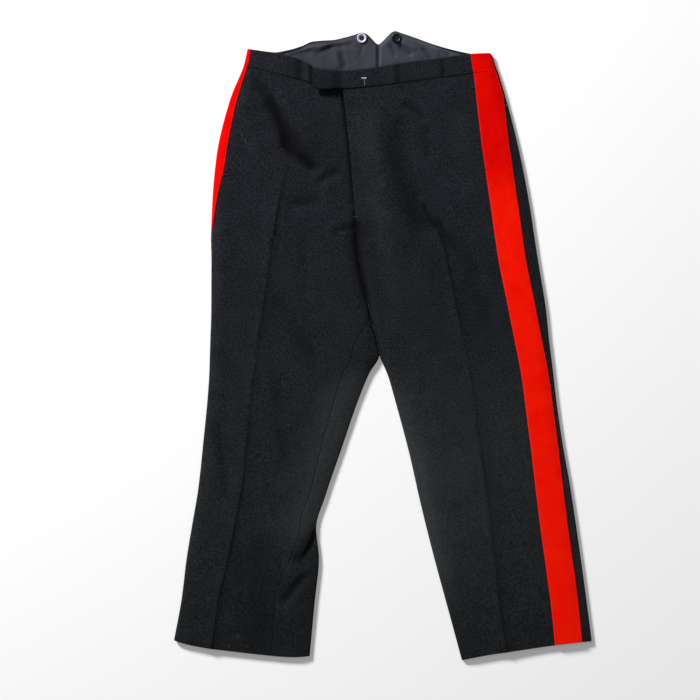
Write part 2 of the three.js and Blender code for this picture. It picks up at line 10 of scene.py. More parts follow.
import bpy
import numpy as np
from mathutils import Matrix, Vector


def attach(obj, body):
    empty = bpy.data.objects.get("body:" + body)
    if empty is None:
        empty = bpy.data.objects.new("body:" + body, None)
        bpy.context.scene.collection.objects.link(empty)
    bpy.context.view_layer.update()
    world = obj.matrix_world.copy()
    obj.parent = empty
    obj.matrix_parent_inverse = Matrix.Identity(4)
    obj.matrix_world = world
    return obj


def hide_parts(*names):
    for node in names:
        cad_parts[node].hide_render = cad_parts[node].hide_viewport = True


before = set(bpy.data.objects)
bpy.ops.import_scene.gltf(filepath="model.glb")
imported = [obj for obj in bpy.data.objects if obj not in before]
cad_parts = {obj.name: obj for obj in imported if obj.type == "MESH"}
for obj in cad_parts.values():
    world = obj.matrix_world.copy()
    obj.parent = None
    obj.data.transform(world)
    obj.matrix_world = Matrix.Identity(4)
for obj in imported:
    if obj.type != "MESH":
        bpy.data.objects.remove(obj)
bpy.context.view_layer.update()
print("solid parts:", sorted(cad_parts))

# %% [markdown]
# The trousers were photographed from straight above, so the camera looks down with the waist at the
# top of the picture. A long lens from 3 m up keeps the legs free of perspective. Its focal length
# follows from the width of floor that the picture takes in.

# %% Camera straight above
CAMERA_HEIGHT = 3.0
PICTURE_WIDTH = 1.288
PICTURE_CENTRE = (-0.0607, -0.0083)
CLOTH_TOP = 0.008
SENSOR = 36.0

camera_data = bpy.data.cameras.new("camera_above")
camera_data.sensor_width = SENSOR
camera_data.lens = SENSOR * (CAMERA_HEIGHT - CLOTH_TOP) / PICTURE_WIDTH
camera = bpy.data.objects.new("camera_above", camera_data)
camera.location = (*PICTURE_CENTRE, CAMERA_HEIGHT)
bpy.context.collection.objects.link(camera)
bpy.context.scene.camera = camera
print("lens:", round(camera_data.lens, 1), "mm")

# %% [markdown]
# Black wool shows its folds only where light crosses it at a slant. A broad lamp low at the upper
# left does that, and a large dim lamp overhead keeps the shadows soft. The plain Standard view
# keeps the scarlet as strong as it is.

# %% Floor and studio light
KEY_POWER = 900.0
TOP_POWER = 9.0
AMBIENT = 0.12
KEY_WAY = (-0.66, 0.75)
KEY_RISE = 22.0
KEY_FAR = 7.0
KEY_SIZE = 1.2
TOP_PLACE = (0.1, 0.3, 2.9)
TOP_SIZE = 2.6
FLOOR_HALF = 4.0
FLOOR_DROP = 0.0003


def soft_lamp(name, place, aim, size, power):
    """A square lamp at a place, turned to face its aim."""
    data = bpy.data.lights.new(name, "AREA")
    data.size, data.energy = size, power
    lamp = bpy.data.objects.new(name, data)
    lamp.location = place
    lamp.rotation_euler = (Vector(aim) - Vector(place)).to_track_quat("-Z", "Y").to_euler()
    bpy.context.collection.objects.link(lamp)


flat_way = np.array(KEY_WAY) / np.linalg.norm(KEY_WAY) * math.cos(math.radians(KEY_RISE))
key_place = KEY_FAR * np.array([*flat_way, math.sin(math.radians(KEY_RISE))])
soft_lamp("key_lamp", tuple(key_place), (0.0, 0.0, 0.0), KEY_SIZE, KEY_POWER)
soft_lamp("top_lamp", TOP_PLACE, (0.0, 0.0, 0.0), TOP_SIZE, TOP_POWER)
world = bpy.data.worlds.new("studio")
world.use_nodes = True
background = world.node_tree.nodes["Background"]
background.inputs["Color"].default_value = (1.0, 1.0, 1.0, 1.0)
background.inputs["Strength"].default_value = AMBIENT
bpy.context.scene.world = world
bpy.context.scene.view_settings.view_transform = "Standard"

corners = np.array([[-1, -1, 0], [1, -1, 0], [1, 1, 0], [-1, 1, 0]]) * FLOOR_HALF
corners = corners - [0, 0, FLOOR_DROP]
floor_mesh = bpy.data.meshes.new("floor")
floor_mesh.from_pydata(corners.tolist(), [], [[0, 1, 2, 3]])
floor = bpy.data.objects.new("floor", floor_mesh)
bpy.context.collection.objects.link(floor)
print("lamps:", KEY_POWER, "W slanting,", TOP_POWER, "W overhead")

# %% [markdown]
# A finish is a network of shader nodes. Written as sums in Python it reads like the formula that it
# is, so a small class wraps the output of a node, and adding or multiplying two of them makes the
# Math node that does it.

# %% Shader sums


class Shade:
    """A number or colour worked out in a material. Sums of numbers add Math nodes."""

    def __init__(self, tree, socket=None):
        self.tree, self.socket = tree, socket

    def node(self, kind, settings=(), sockets=(), output=0):
        """Adds a node of this kind: first its settings, then the values or links of its sockets."""
        made = self.tree.nodes.new(kind)
        for key, value in dict(settings).items():
            setattr(made, key, value)
        for key, value in dict(sockets).items():
            if isinstance(value, Shade):
                self.tree.links.new(value.socket, made.inputs[key])
            else:
                made.inputs[key].default_value = value
        return Shade(self.tree, made.outputs[output])

    def sum(self, operation, a, b=0.0):
        return self.node("ShaderNodeMath", {"operation": operation}, {0: a, 1: b})

    def __add__(self, other):
        return self.sum("ADD", self, other)

    def __sub__(self, other):
        return self.sum("SUBTRACT", self, other)

    def __rsub__(self, other):
        return self.sum("SUBTRACT", other, self)

    def __mul__(self, other):
        return self.sum("MULTIPLY", self, other)

    def __lt__(self, other):
        return self.sum("LESS_THAN", self, other)

    def __gt__(self, other):
        return self.sum("GREATER_THAN", self, other)

    __radd__ = __add__

    def sine(self):
        return self.sum("SINE", self)

    def clamp(self):
        """The number held between 0 and 1."""
        return self.node("ShaderNodeClamp", {}, {"Value": self})

    def blend(self, low, high):
        """The colour between low and high, with this number as the share of high."""
        sockets = {"Factor": self, "A": low, "B": high}
        made = self.tree.nodes.new("ShaderNodeMix")
        made.data_type = "RGBA"
        for key, value in sockets.items():
            socket = next(s for s in made.inputs if s.name == key and s.enabled)
            if isinstance(value, Shade):
                self.tree.links.new(value.socket, socket)
            else:
                socket.default_value = value
        return Shade(self.tree, next(s for s in made.outputs if s.enabled))


print("shader sums ready")

# %% [markdown]
# Every finish starts from the Principled shader. Its grain is noise placed in metres, so that it
# stays on the cloth. Weaves use the map of the piece, which runs along the threads.

# %% Start of every finish


def start_finish(name, **constants):
    """A new material, its Principled shader with the constants set, and a Shade to build sums
    from."""
    material = bpy.data.materials.new(name)
    material.use_nodes = True
    shader = material.node_tree.nodes["Principled BSDF"]
    for key, value in constants.items():
        shader.inputs[key.replace("_", " ")].default_value = value
    return material, shader, Shade(material.node_tree)


def connect(shader, **links):
    """Links each Shade to the shader's socket of that name."""
    for key, value in links.items():
        value.tree.links.new(value.socket, shader.inputs[key.replace("_", " ")])


def grain(start, where, scale, detail=2.0, rough=0.55):
    """Soft noise from 0 to 1, with its features 1 / scale metres across."""
    sockets = {"Vector": where, "Scale": scale, "Detail": detail, "Roughness": rough}
    return start.node("ShaderNodeTexNoise", {}, sockets)


def object_place(start):
    """Metres from the origin, which all pieces share."""
    return start.node("ShaderNodeTexCoord", output=3)


def part_of(start, place, axis):
    """One of the three numbers of a place: 0 for x, 1 for y and 2 for z."""
    return start.node("ShaderNodeSeparateXYZ", {}, {0: place}, axis)


def cloth_axes(start):
    """Two numbers: metres across the cloth and metres along it, from the piece's own map."""
    place = start.node("ShaderNodeUVMap", {"uv_map": "cloth"})
    return part_of(start, place, 0), part_of(start, place, 1)


def attribute(start, name):
    """A number that the mesh keeps for each of its points."""
    return start.node("ShaderNodeAttribute", {"attribute_name": name}, output=2)


def bumped(start, shader, height, distance, strength):
    """Raises the surface by height times distance, in metres, as the light sees it."""
    sockets = {"Height": height, "Distance": distance, "Strength": strength}
    connect(shader, Normal=start.node("ShaderNodeBump", {}, sockets))


def rgb(red, green, blue):
    return (red, green, blue, 1.0)


print("finish helpers ready")

# %% [markdown]
# Barathea is a close worsted cloth with a pebbled surface: short broken ribs a little over half a
# millimetre apart. Two crossed sine waves along the threads give the pebbles, and noise breaks them
# up. Its black is never even: fibre ends catch the light as a fine speckle, lint lies on it, and
# years of wear have turned the legs from blue-black to a greener grey. Painted light makes it paler
# at the inner edges, where some wear adds to it, over the knees, along the outer folds and in
# patches. Painted shade makes it darker in the troughs, creases and valleys, under the waistband
# and in patches. A mesh attribute says how much of each, and each mesh works it out from its own
# folds.

# %% Barathea finish
PEBBLE = 0.00062
TURN = 2 * math.pi
WOOL_GROUND = rgb(0.0030, 0.0038, 0.0052)
WOOL_BELOW = rgb(0.0180, 0.0212, 0.0230)
WOOL_ABOVE = rgb(0.0184, 0.0208, 0.0285)
# The colour of painted shade, then the two colours of painted light with some wear:
WOOL_PAINTED_SHADE = rgb(0.0008, 0.0012, 0.0018)
PAINTED_LIGHT_AND_WEAR_GROUND = rgb(0.0240, 0.0268, 0.0290)
PAINTED_LIGHT_AND_WEAR_FIBRE = rgb(0.0400, 0.0445, 0.0480)
LINT_FLECK = rgb(0.16, 0.165, 0.17)


def barathea():
    """Pebbles, fibre bluer at the waist, painted light with some wear and painted shade where the
    mesh attribute says so, and a few flecks.
    """
    material, shader, start = start_finish(
        "barathea", Roughness=0.9, Sheen_Weight=0.03, Sheen_Roughness=0.6, Specular_IOR_Level=0.08)
    place = object_place(start)
    across_cloth, along_cloth = cloth_axes(start)
    fuzz = grain(start, place, 1500.0)
    pebbles = (across_cloth * (TURN / PEBBLE)).sine() * (along_cloth * (TURN / PEBBLE)).sine()
    speckle = grain(start, place, 300.0, 3.0, 0.75)
    cloud = grain(start, place, 26.0)
    shade = (speckle * 3.6 - 1.3 + (cloud - 0.5) * 0.6).clamp()
    fibre = (part_of(start, place, 1) * 3.0 + 0.3).clamp().blend(WOOL_BELOW, WOOL_ABOVE)
    colour = shade.blend(WOOL_GROUND, fibre)
    # Painted light, with some wear, makes the colour paler where the attribute is above 0; painted
    # shade makes it darker where it is below 0.
    rub = attribute(start, "rub")
    colour = rub.clamp().blend(colour, shade.blend(PAINTED_LIGHT_AND_WEAR_GROUND, PAINTED_LIGHT_AND_WEAR_FIBRE))
    colour = (0.0 - rub).clamp().blend(colour, WOOL_PAINTED_SHADE)
    spots = {"Vector": place, "Scale": 90.0, "Randomness": 1.0}
    fleck = start.node("ShaderNodeTexVoronoi", {"feature": "F1"}, spots) < 0.055
    few = grain(start, place, 17.0, 1.0) > 0.56
    colour = (fleck * few * 0.4).blend(colour, LINT_FLECK)
    connect(shader, Base_Color=colour, Roughness=0.97 - speckle * 0.14)
    bumped(start, shader, pebbles * 0.35 + fuzz * 0.8 + speckle * 0.9, 0.00032, 0.8)
    return material


wool_finish = barathea()
print("barathea: pebbles", PEBBLE * 1000, "mm apart")

# %% [markdown]
# The stripe is scarlet facing cloth, a milled wool with a short felted nap that hides its weave.
# Its colour is nearly even: a little deeper in the hollows of the nap, near the waist on the left
# leg and all down the right leg. It has almost no shine.

# %% Scarlet facing cloth finish
SCARLET_DEEP = rgb(0.62, 0.0006, 0.0003)
SCARLET = rgb(0.82, 0.0022, 0.0006)
PALE_SCARLET_DEEP = rgb(0.96, 0.0030, 0.0006)
PALE_SCARLET = rgb(1.0, 0.0150, 0.0020)


def facing_cloth():
    material, shader, start = start_finish(
        "scarlet_facing", Roughness=0.95, Sheen_Weight=0.0, Specular_IOR_Level=0.01)
    place = object_place(start)
    nap = grain(start, place, 1700.0, 3.0, 0.65)
    cloud = grain(start, place, 42.0, 3.0)
    shade = (nap * 0.8 + cloud * 1.4 - 0.65).clamp()
    paler = shade.blend(PALE_SCARLET_DEEP, PALE_SCARLET)
    colour = attribute(start, "rub").blend(shade.blend(SCARLET_DEEP, SCARLET), paler)
    connect(shader, Base_Color=colour, Roughness=1.0 - nap * 0.16)
    bumped(start, shader, nap, 0.00022, 0.7)
    return material


stripe_finish = facing_cloth()
print("scarlet facing cloth ready")

# %% [markdown]
# The back is lined with a slate cotton twill. Its fine diagonal lines are less than half a
# millimetre apart, and it is smoother than the wool, so its creases catch a soft shine.

# %% Slate twill finish
TWILL = 0.00045
SLATE_DEEP = rgb(0.023, 0.0265, 0.042)
SLATE = rgb(0.042, 0.048, 0.070)
SLATE_SHADE = rgb(0.004, 0.005, 0.013)


def slate_twill():
    material, shader, start = start_finish(
        "slate_twill", Roughness=0.62, Sheen_Weight=0.08, Specular_IOR_Level=0.3)
    place = object_place(start)
    across_cloth, along_cloth = cloth_axes(start)
    lines = ((across_cloth + along_cloth) * (TURN / TWILL)).sine()
    cloud = grain(start, place, 45.0, 3.0)
    thread = grain(start, place, 1400.0)
    colour = (cloud * 0.8 + thread * 0.4 - 0.1).clamp().blend(SLATE_DEEP, SLATE)
    # Painted shade: the mesh attribute darkens the lining towards SLATE_SHADE.
    colour = attribute(start, "rub").blend(colour, SLATE_SHADE)
    connect(shader, Base_Color=colour, Roughness=0.56 + thread * 0.14)
    bumped(start, shader, lines * 0.5 + thread, 0.00012, 0.6)
    return material


lining_finish = slate_twill()
print("slate twill: lines", TWILL * 1000, "mm apart")

# %% [markdown]
# Threads and buttons are small, but a zoomed view shows them. Thread is twisted, so fine slanting
# lines run along it. The right brace button has a dark middle and rim, and its glossy ring carries
# a pale lilac painted reflection. The left one is plain black.

# %% Thread and button finishes
TWIST = 0.0005


def sewing_thread(name, deep, bright, rough):
    material, shader, start = start_finish(name, Roughness=rough, Sheen_Weight=0.1)
    waves = {"Vector": object_place(start), "Scale": 0.3 / TWIST, "Distortion": 1.2}
    twist = start.node("ShaderNodeTexWave", {"bands_direction": "DIAGONAL"}, waves, output=1)
    connect(shader, Base_Color=twist.blend(deep, bright))
    bumped(start, shader, twist, 0.0001, 0.6)
    return material


def button_glaze(name, deep, pale, rough, coat, shine):
    """A mottled glaze, with a painted reflection: the pale colour on the ring that the mesh marks.
    """
    material, shader, start = start_finish(
        name, Roughness=rough, Coat_Weight=coat, Specular_IOR_Level=shine)
    mottle = grain(start, object_place(start), 500.0, 3.0)
    body = mottle.blend(deep, tuple(1.5 * c for c in deep[:3]) + (1.0,))
    colour = attribute(start, "ring").blend(body, pale)
    connect(shader, Base_Color=colour, Roughness=rough + mottle * 0.2)
    bumped(start, shader, mottle, 0.00005, 0.4)
    return material


jet = rgb(0.003, 0.004, 0.007)
# The right button's dark body, and the lilac of the painted reflection on its ring.
midnight, reflection_lilac = rgb(0.012, 0.014, 0.036), rgb(0.60, 0.57, 0.74)
black_thread = sewing_thread(
    "black_thread", rgb(0.003, 0.003, 0.004), rgb(0.010, 0.010, 0.012), 0.8)
red_thread = sewing_thread("red_thread", rgb(0.55, 0.004, 0.002), rgb(0.86, 0.010, 0.004), 0.6)
pale_thread = sewing_thread("pale_thread", rgb(0.26, 0.27, 0.27), rgb(0.50, 0.51, 0.51), 0.8)
lint_thread = sewing_thread("lint_thread", rgb(0.045, 0.046, 0.05), rgb(0.10, 0.10, 0.105), 0.9)
painted_reflection_glaze = button_glaze("pale_ring_glaze", midnight, reflection_lilac, 0.24, 0.25, 0.5)
black_glaze = button_glaze("black_glaze", jet, jet, 0.30, 0.0, 0.22)

floor_paint, _, _ = start_finish(
    "floor_paint", Roughness=1.0, Base_Color=rgb(0.92, 0.92, 0.92), Specular_IOR_Level=0.0,
    Emission_Color=rgb(1.0, 1.0, 1.0), Emission_Strength=0.15)
floor.data.materials.append(floor_paint)
print("threads and glazes ready")

# %% [markdown]
# The shape of the cloth comes from the pattern of the garment. Each leg is a table of lines drawn
# across it, from one pressed side fold to the other, with the places of its two seams and its
# crease. A smooth curve through each column turns the few rows into as many as the mesh needs.
# Lengths are in millimetres until a mesh is made.

# %% Cloths, folds and gaps, in millimetres
CLOTH = 1.6
BAND_CLOTH = 2.2
STRIPE_CLOTH = 1.0
LINING_CLOTH = 1.0
SEAM_GAP = 0.3
STRIPE_GAP = 0.55
OVERLAP_GAP = 0.6
FOLD_RADIUS = 2.6
QUARTER = math.pi / 2 * FOLD_RADIUS
STRIPE_HALF = 25.4
BAND_PROUD = 0.5
FLY_UNDERLAP = 35
LAP_FLAT = FLY_UNDERLAP + 4
TAB_LENGTH = 56
TAB_LIFT = 4
TAB_TILT = 1.5
TAB_RISE = 20
TAB_DROP = 4.5
TAB_SAG = 3.5
FISHTAIL_POINT = 30
LINING_INSET = 1.4
LINING_BELOW_SEAM = 20
LINING_SIDE = 14
EDGE_EASE = 30
VALLEY_HALF = 6
LEAST_LIFT = -0.8
FLY_FADE = 48
FLY_DIP = 3.4
FLY_DIP_HALF = 5
CREASE_HEIGHT = 2
CREASE_INNER = 6
CREASE_OUTER = 12
CREASE_START = 3
STRIPE_CLEAR = 3
STRIPE_FADE = 40
WAIST_SEAM = 1
FLY_END = 4.15
CURL_START = 5.7
DRAW_START = 5.8
CROTCH = 6
APEX = 8
APEX_GAP = 0.02
APEX_OPENS = 0.7
CENTRE_GAP = 0.04
MM = 0.001


def table(names, rows):
    """A table as one array for each named column."""
    return dict(zip(names.split(), np.array(rows, float).T))


def rows_in(columns):
    """The rows of a table, one after another."""
    return np.array(list(columns.values())).T


def ease(t):
    """A smooth step, 3t^2 - 2t^3, with t held between 0 and 1."""
    t = np.clip(t, 0, 1)
    return t * t * (3 - 2 * t)


def mix(a, b, t):
    return a + (b - a) * t


def ramp(x, first, span):
    """A smooth step that is 0 up to first and 1 a span later."""
    return ease((x - first) / span)


def bell(x, half):
    """1 at 0 and falling on both sides: e to the power of minus the square of x / half."""
    return np.exp(-((x / half) ** 2))


def unit(vectors):
    """Each vector made one long."""
    return vectors / np.linalg.norm(vectors, axis=-1, keepdims=True)


def smooth_curve(xs, ys):
    """A cubic through every point whose slope there is the harmonic mean of the two chords' slopes,
    so that it never swings past them. It goes on straight beyond its ends."""
    width = np.diff(xs)
    rise = np.diff(ys) / width
    slopes = np.r_[rise[0], np.zeros(len(xs) - 2), rise[-1]]
    turning = rise[:-1] * rise[1:] > 0
    before = (2 * width[1:] + width[:-1])[turning]
    after = (width[1:] + 2 * width[:-1])[turning]
    harmonic = before / rise[:-1][turning] + after / rise[1:][turning]
    slopes[1:-1][turning] = (before + after) / harmonic

    def at(x):
        x = np.asarray(x, float)
        i = np.clip(np.searchsorted(xs, x) - 1, 0, len(width) - 1)
        t = np.clip((x - xs[i]) / width[i], 0, 1)
        bend = t * (1 - t) * width[i] * ((1 - t) * slopes[i] - t * slopes[i + 1])
        beyond = slopes[0] * np.minimum(x - xs[0], 0) + slopes[-1] * np.maximum(x - xs[-1], 0)
        return mix(ys[i], ys[i + 1], ease(t)) + bend + beyond

    return at


print("cloth", CLOTH, "mm, stripe", 2 * STRIPE_HALF, "mm wide")

# %% [markdown]
# Each row of these tables is one line across a leg: its outer end, its inner end, how far the side
# seam lies from the outer fold and the inside seam from the inner fold, and where the crease is.

# %% The legs of the pattern
COLUMNS = "outerX outerY innerX innerY outseam inseam crease"
RIGHT_LEG = table(COLUMNS, [
    [-248, 546, -73, 508, -18, 4, 97],
    [-256, 512, -73, 474, -17.5, 4, 101],
    [-280, 453, -67, 420, -12, 4, 116],
    [-305, 350, -59, 342, -7, 4, 131],
    [-313, 261, -51, 247, -17.5, 4, 119],
    [-316, 166, -45, 166, -27, 4, 108],
    [-316.5, 61, -23.5, 61, -30, 4.1, 94],
    [-318, 15, -14, 15, -33, 33, 88],
    [-319, -18, -6.9, -18, -36, 51, 86],
    [-320, -51, -25, -51, -37, 49.5, 82],
    [-323, -96, -45, -99, -38, 45, 79],
    [-331, -177, -76, -189, -40, 38.5, 79],
    [-340, -261, -105, -274, -39, 31, 79],
    [-351, -327, -123, -336, -40, 31, 78],
    [-362, -394, -118, -394, -43, 55, 76],
    [-371, -467, -125.5, -471, -46, 74, 68],
    [-385, -543, -135, -572, -48, 72, 68],
])
LEFT_LEG = table(COLUMNS, [
    [201, 538, -73, 508, 16.5, 4, 183],
    [212, 504, -73, 474, 21.5, 4, 187],
    [231, 440, -67, 420, 33.5, 4, 190],
    [253, 350, -59, 342, 44.5, 4, 193],
    [270.5, 258, -51, 247, 48.5, 4, 188],
    [284, 169, -45, 166, 49.5, 4, 169],
    [301, 63, -23, 61, 45.5, 4.1, 165],
    [305.5, 18, -13.5, 15, 41, -6, 159],
    [309.5, -15, -6.4, -18, 38.5, -12, 155],
    [314, -51, 9, -55, 36, -14, 153],
    [319, -96, 24, -107, 34.5, -13, 151],
    [330, -173, 48, -197, 35.5, -9, 153],
    [346, -265, 70, -294, 40.5, -6, 155],
    [360, -359, 94, -390, 42.5, -16, 158],
    [373, -453, 120, -486, 42.5, -28, 161],
    [385, -545, 145.5, -580, 45, -37, 159],
])


def make_leg(side, columns, bow):
    """A leg whose columns can be read at any row, and fractions of one."""
    numbers = np.arange(len(columns["crease"]), dtype=float)
    curves = {name: smooth_curve(numbers, ys) for name, ys in columns.items()}
    return {"side": side, "last": int(numbers[-1]), "bow": bow, **curves}


left_leg = make_leg("left", LEFT_LEG, 3)
own_right = make_leg("right", RIGHT_LEG, -8)


def right_inner_x(row):
    """Down to the apex between the legs, the right leg's inner side lies edge to edge with the left
    one's."""
    beside = left_leg["innerX"](row) - APEX_GAP * ease(row - CURL_START + APEX_OPENS)
    return np.where(row < APEX, beside, own_right["innerX"](row))


def right_inner_y(row):
    return np.where(row < APEX, left_leg["innerY"](row), own_right["innerY"](row))


right_leg = {**own_right, "innerX": right_inner_x, "innerY": right_inner_y}
print("rows:", right_leg["last"] + 1, "on the right leg,", left_leg["last"] + 1, "on the left")

# %% [markdown]
# The waistband, its seam and the fishtail are curves across both legs. A further table says how
# much wider the back is cut for the seat, and another how far the upper layer stands off.

# %% The waist and the fishtail
SEAT = table("row offset", [[0, 64.5], [1, 64.5], [2, 58], [3, 48], [4, 33], [5, 14], [5.6, 0]])
WAIST = table("x top seam", [
    [-256, 547, 513], [-222, 542, 506], [-192, 538, 498.5], [-163, 530, 491], [-141, 521, 484.5],
    [-128, 513, 480], [-97, 507.5, 473.5], [-69, 505.5, 471.5], [-32, 509, 474.5],
    [14, 516.5, 480], [60, 523.5, 486.5], [106, 529, 492], [152, 536, 498.5], [179, 537.5, 502],
    [212, 539, 504.5],
])
FISHTAIL = table("x y", [
    [-256, 544], [-222, 540.5], [-202, 540.5], [-174, 545], [-149, 552.5], [-130, 560.5],
    [-110, 562.5], [-91, 563.5], [-73, 567.5], [-54, 572.5], [-38.3, 577], [-29, 574],
    [-20, 565], [-8.3, 555.5], [-1, 560.5], [8, 570], [18, 578.5], [23, 580], [32, 577],
    [60, 567.5], [90, 556.5], [120, 547.5], [152, 540], [176, 536], [212, 536],
])
PUFF = table("y height", [
    [-580, 1.8], [-420, 3.2], [-200, 3.8], [0, 4.6], [300, 5.4], [470, 4.2], [560, 3],
])

seat_offset = smooth_curve(SEAT["row"], SEAT["offset"])
waist_top = smooth_curve(WAIST["x"], WAIST["top"])
waist_seam = smooth_curve(WAIST["x"], WAIST["seam"])
fishtail_edge = smooth_curve(FISHTAIL["x"], FISHTAIL["y"])
puff_height = smooth_curve(PUFF["y"], PUFF["height"])
print("notch and points of the fishtail:", fishtail_edge([-8.3, -38.3, 23.0]), "mm")

# %% [markdown]
# The upper layer of each leg doesn't lie dead flat on the lower one. It stands off it a little, has
# a pressed crease down its middle, and shows the folds that years on a shelf and a quick laying-out
# have left. Each fold is a ridge or a trough along a bowed line. The widest are in the solid parts
# too, and the fine ones are added here.

# %% Folds of the upper layer
FOLD_COLUMNS = "fromX fromY toX toY bend left right height"
FOLDS = table(FOLD_COLUMNS, [
    [-240, 500, -162, 344, 9, 9, 12, -6.0],
    [-188, 378, -112, 318, -4, 9, 10, -4.4],
    [-192, 488, -118, 356, -6, 14, 12, 2.6],
    [-262, 470, -214, 340, -4, 14, 16, 2.2],
    [-124, 294, -76, 322, 4, 7, 8, -2.8],
    [-174, 252, -108, 266, 3, 12, 12, -2.6],
    [-100, 288, -54, 252, 2, 7, 7, -1.8],
    [-92, 203, -48, 218, 3, 7, 8, -2.2],
    [-60, 224, -30, 56, 4, 10, 20, -2.2],
    [-137, 214, -141, 72, -4, 13, 13, -2.0],
    [-206, 84, -112, -46, 6, 15, 17, -3.2],
    [-190, -40, -168, -240, -8, 13, 16, -2.6],
    [-309, -130, -284, -292, 4, 9, 10, -2.4],
    [-324, -92, -276, -105, 3, 6, 7, -2.0],
    [-128, -416, -186, -488, -7, 7, 9, -3.2],
    [-10, 470, 40, 150, -4, 22, 26, 3.0],
    [26, 430, 92, 190, -6, 22, 22, -3.2],
    [76, 264, 100, 208, -2, 5, 6, -3.6],
    [98, 236, 144, 168, -3, 7, 9, -3.8],
    [34, 446, 82, 412, 3, 7, 8, -3.4],
    [74, 404, 84, 340, 4, 9, 9, -2.0],
    [138, 176, 190, 122, -3, 9, 12, -1.6],
])
FINE_FOLDS = table(FOLD_COLUMNS, [
    [-170, 455, -140, 352, -4, 4, 5, -0.5],
    [-186, 425, -152, 330, -3, 3, 4, 0.5],
    [-72, 300, -50, 262, 2, 4, 4, -0.5],
    [-100, 258, -66, 236, -2, 5, 5, -0.5],
    [-118, 150, -104, 66, 3, 6, 6, -0.4],
    [-66, 150, -42, 90, 3, 6, 6, 0.5],
    [-160, 8, -128, -40, 2, 4, 5, -0.5],
    [-232, -70, -226, -150, 2, 6, 6, -0.35],
    [-205, -120, -196, -220, -3, 5, 6, -0.4],
    [-150, -96, -140, -200, 2, 8, 8, 0.4],
    [-160, -350, -190, -410, -4, 6, 8, -0.5],
    [-142, -452, -156, -500, 2, 6, 6, -0.4],
    [-262, -430, -252, -500, 2, 7, 7, -0.35],
    [30, 420, 44, 330, -3, 6, 6, -0.5],
    [52, 400, 62, 320, 2, 5, 5, 0.45],
    [102, 330, 112, 252, 3, 6, 6, -0.5],
    [122, 300, 128, 230, 2, 6, 6, 0.4],
    [86, 300, 92, 262, 1, 4, 4, -0.5],
    [140, 196, 168, 150, 2, 6, 6, -0.5],
    [90, 100, 96, 20, 2, 10, 10, -0.35],
    [196, -160, 206, -250, 2, 8, 8, -0.35],
    [214, -320, 224, -400, 2, 7, 9, -0.45],
    [260, -300, 272, -380, 2, 8, 8, 0.35],
])
TUCK_LINE = (-119, -330, -156, -402)
TUCK_OVER, TUCK_UNDER, TUCK_REACH, TUCK_DIP, TUCK_EDGE = 5, -2.2, 22, 10, 5
TUCK_RISES, TUCK_FADES = (-0.25, 0.3), (0.3, 0.75)
RIPPLE, FINE_RIPPLE = 0.085, 0.05


def frame_of_line(line, x, y):
    """How far along a line each point is, as a share of it, and how far off it on its left."""
    from_x, from_y, to_x, to_y = line
    dx, dy = to_x - from_x, to_y - from_y
    length = math.hypot(dx, dy)
    along = ((x - from_x) * dx + (y - from_y) * dy) / length**2
    return along, (dx * (y - from_y) - dy * (x - from_x)) / length


def fold_heights(folds, x, y):
    """The sum of the folds at each point: a bell across each fold, bowed to its left, fading at its
    two ends."""
    total = np.zeros(np.broadcast(x, y).shape)
    for from_x, from_y, to_x, to_y, bend, left, right, height in rows_in(folds):
        along, off = frame_of_line((from_x, from_y, to_x, to_y), x, y)
        hump = np.clip(4 * along * (1 - along), 0, 1)
        off = off - bend * hump
        half = np.where(off > 0, left, right)
        total += height * np.minimum(1, 1.6 * hump) * bell(off, half)
    return total


def tuck_height(x, y):
    """The calf tuck: cloth stands up on one side of its line, drops over it and dips on the other
    side."""
    along, off = frame_of_line(TUCK_LINE, x, y)
    off = -off
    reach = ramp(along, *TUCK_RISES) * (1 - ramp(along, *TUCK_FADES))
    over = TUCK_OVER * np.exp(-np.maximum(off, 0) / TUCK_REACH)
    under = TUCK_UNDER * np.exp(np.minimum(off, 0) / TUCK_DIP)
    return reach * mix(under, over, ease(off / TUCK_EDGE + 0.5))


def ripple(x, y):
    """Faint unevenness: the sum of four slow sine waves in different directions, which two slower
    ones bend, and of a finer one."""
    warp = 14 * np.sin(x / 61 + 1.3) + 11 * np.sin(y / 73 + 0.4)
    waves = np.sin((x + warp) / 17 + 0.7) + np.sin((0.5 * x - 0.87 * y + warp) / 23 + 2.1)
    waves += np.sin((0.8 * x + 0.6 * y - warp) / 13 + 4.0)
    waves += 0.6 * np.sin((x * 0.3 - y + warp) / 9.5)
    return RIPPLE * waves + FINE_RIPPLE * np.sin((x + 0.4 * y) / 6.1 + np.sin(y / 19) * 2)


print("folds:", len(FOLDS["height"]), "broad,", len(FINE_FOLDS["height"]), "fine")

# %% [markdown]
# One function places any point of a leg's cloth. It takes the row, and the distance round the leg
# from the crest of its outer fold: over the top when above 0, underneath when below 0. Near a side
# fold it follows a quarter circle, and elsewhere it is level but for the folds. Panels, stripes and
# waistband all ask it, so they lie on each other.

# %% A line across a leg, and its curved ends
BOW_FADE = 1.5
FOLD_OPENS = 1.5
VALLEY_OPENS = 0.6
FLY_DIP_RISES = 0.3
FLY_DIP_FADES = 0.5
CREASE_FADE = 1.2
LAP_FADES = 0.8
STRIPE_EDGE_FADE = 8


def across(leg, row, upper):
    """The line across a leg: its start, direction, width and the length of cloth from one side fold
    to the other. The lower layer's line goes on to the seat seam."""
    row = np.asarray(row, float)
    shift = np.where(upper | (row >= CURL_START), 0, seat_offset(row))
    x, y = leg["outerX"](row), leg["outerY"](row)
    dx, dy = leg["innerX"](row) + shift - x, leg["innerY"](row) - y
    width = np.hypot(dx, dy)
    return x, y, dx / width, dy / width, width, width - 2 * FOLD_RADIUS + 2 * QUARTER


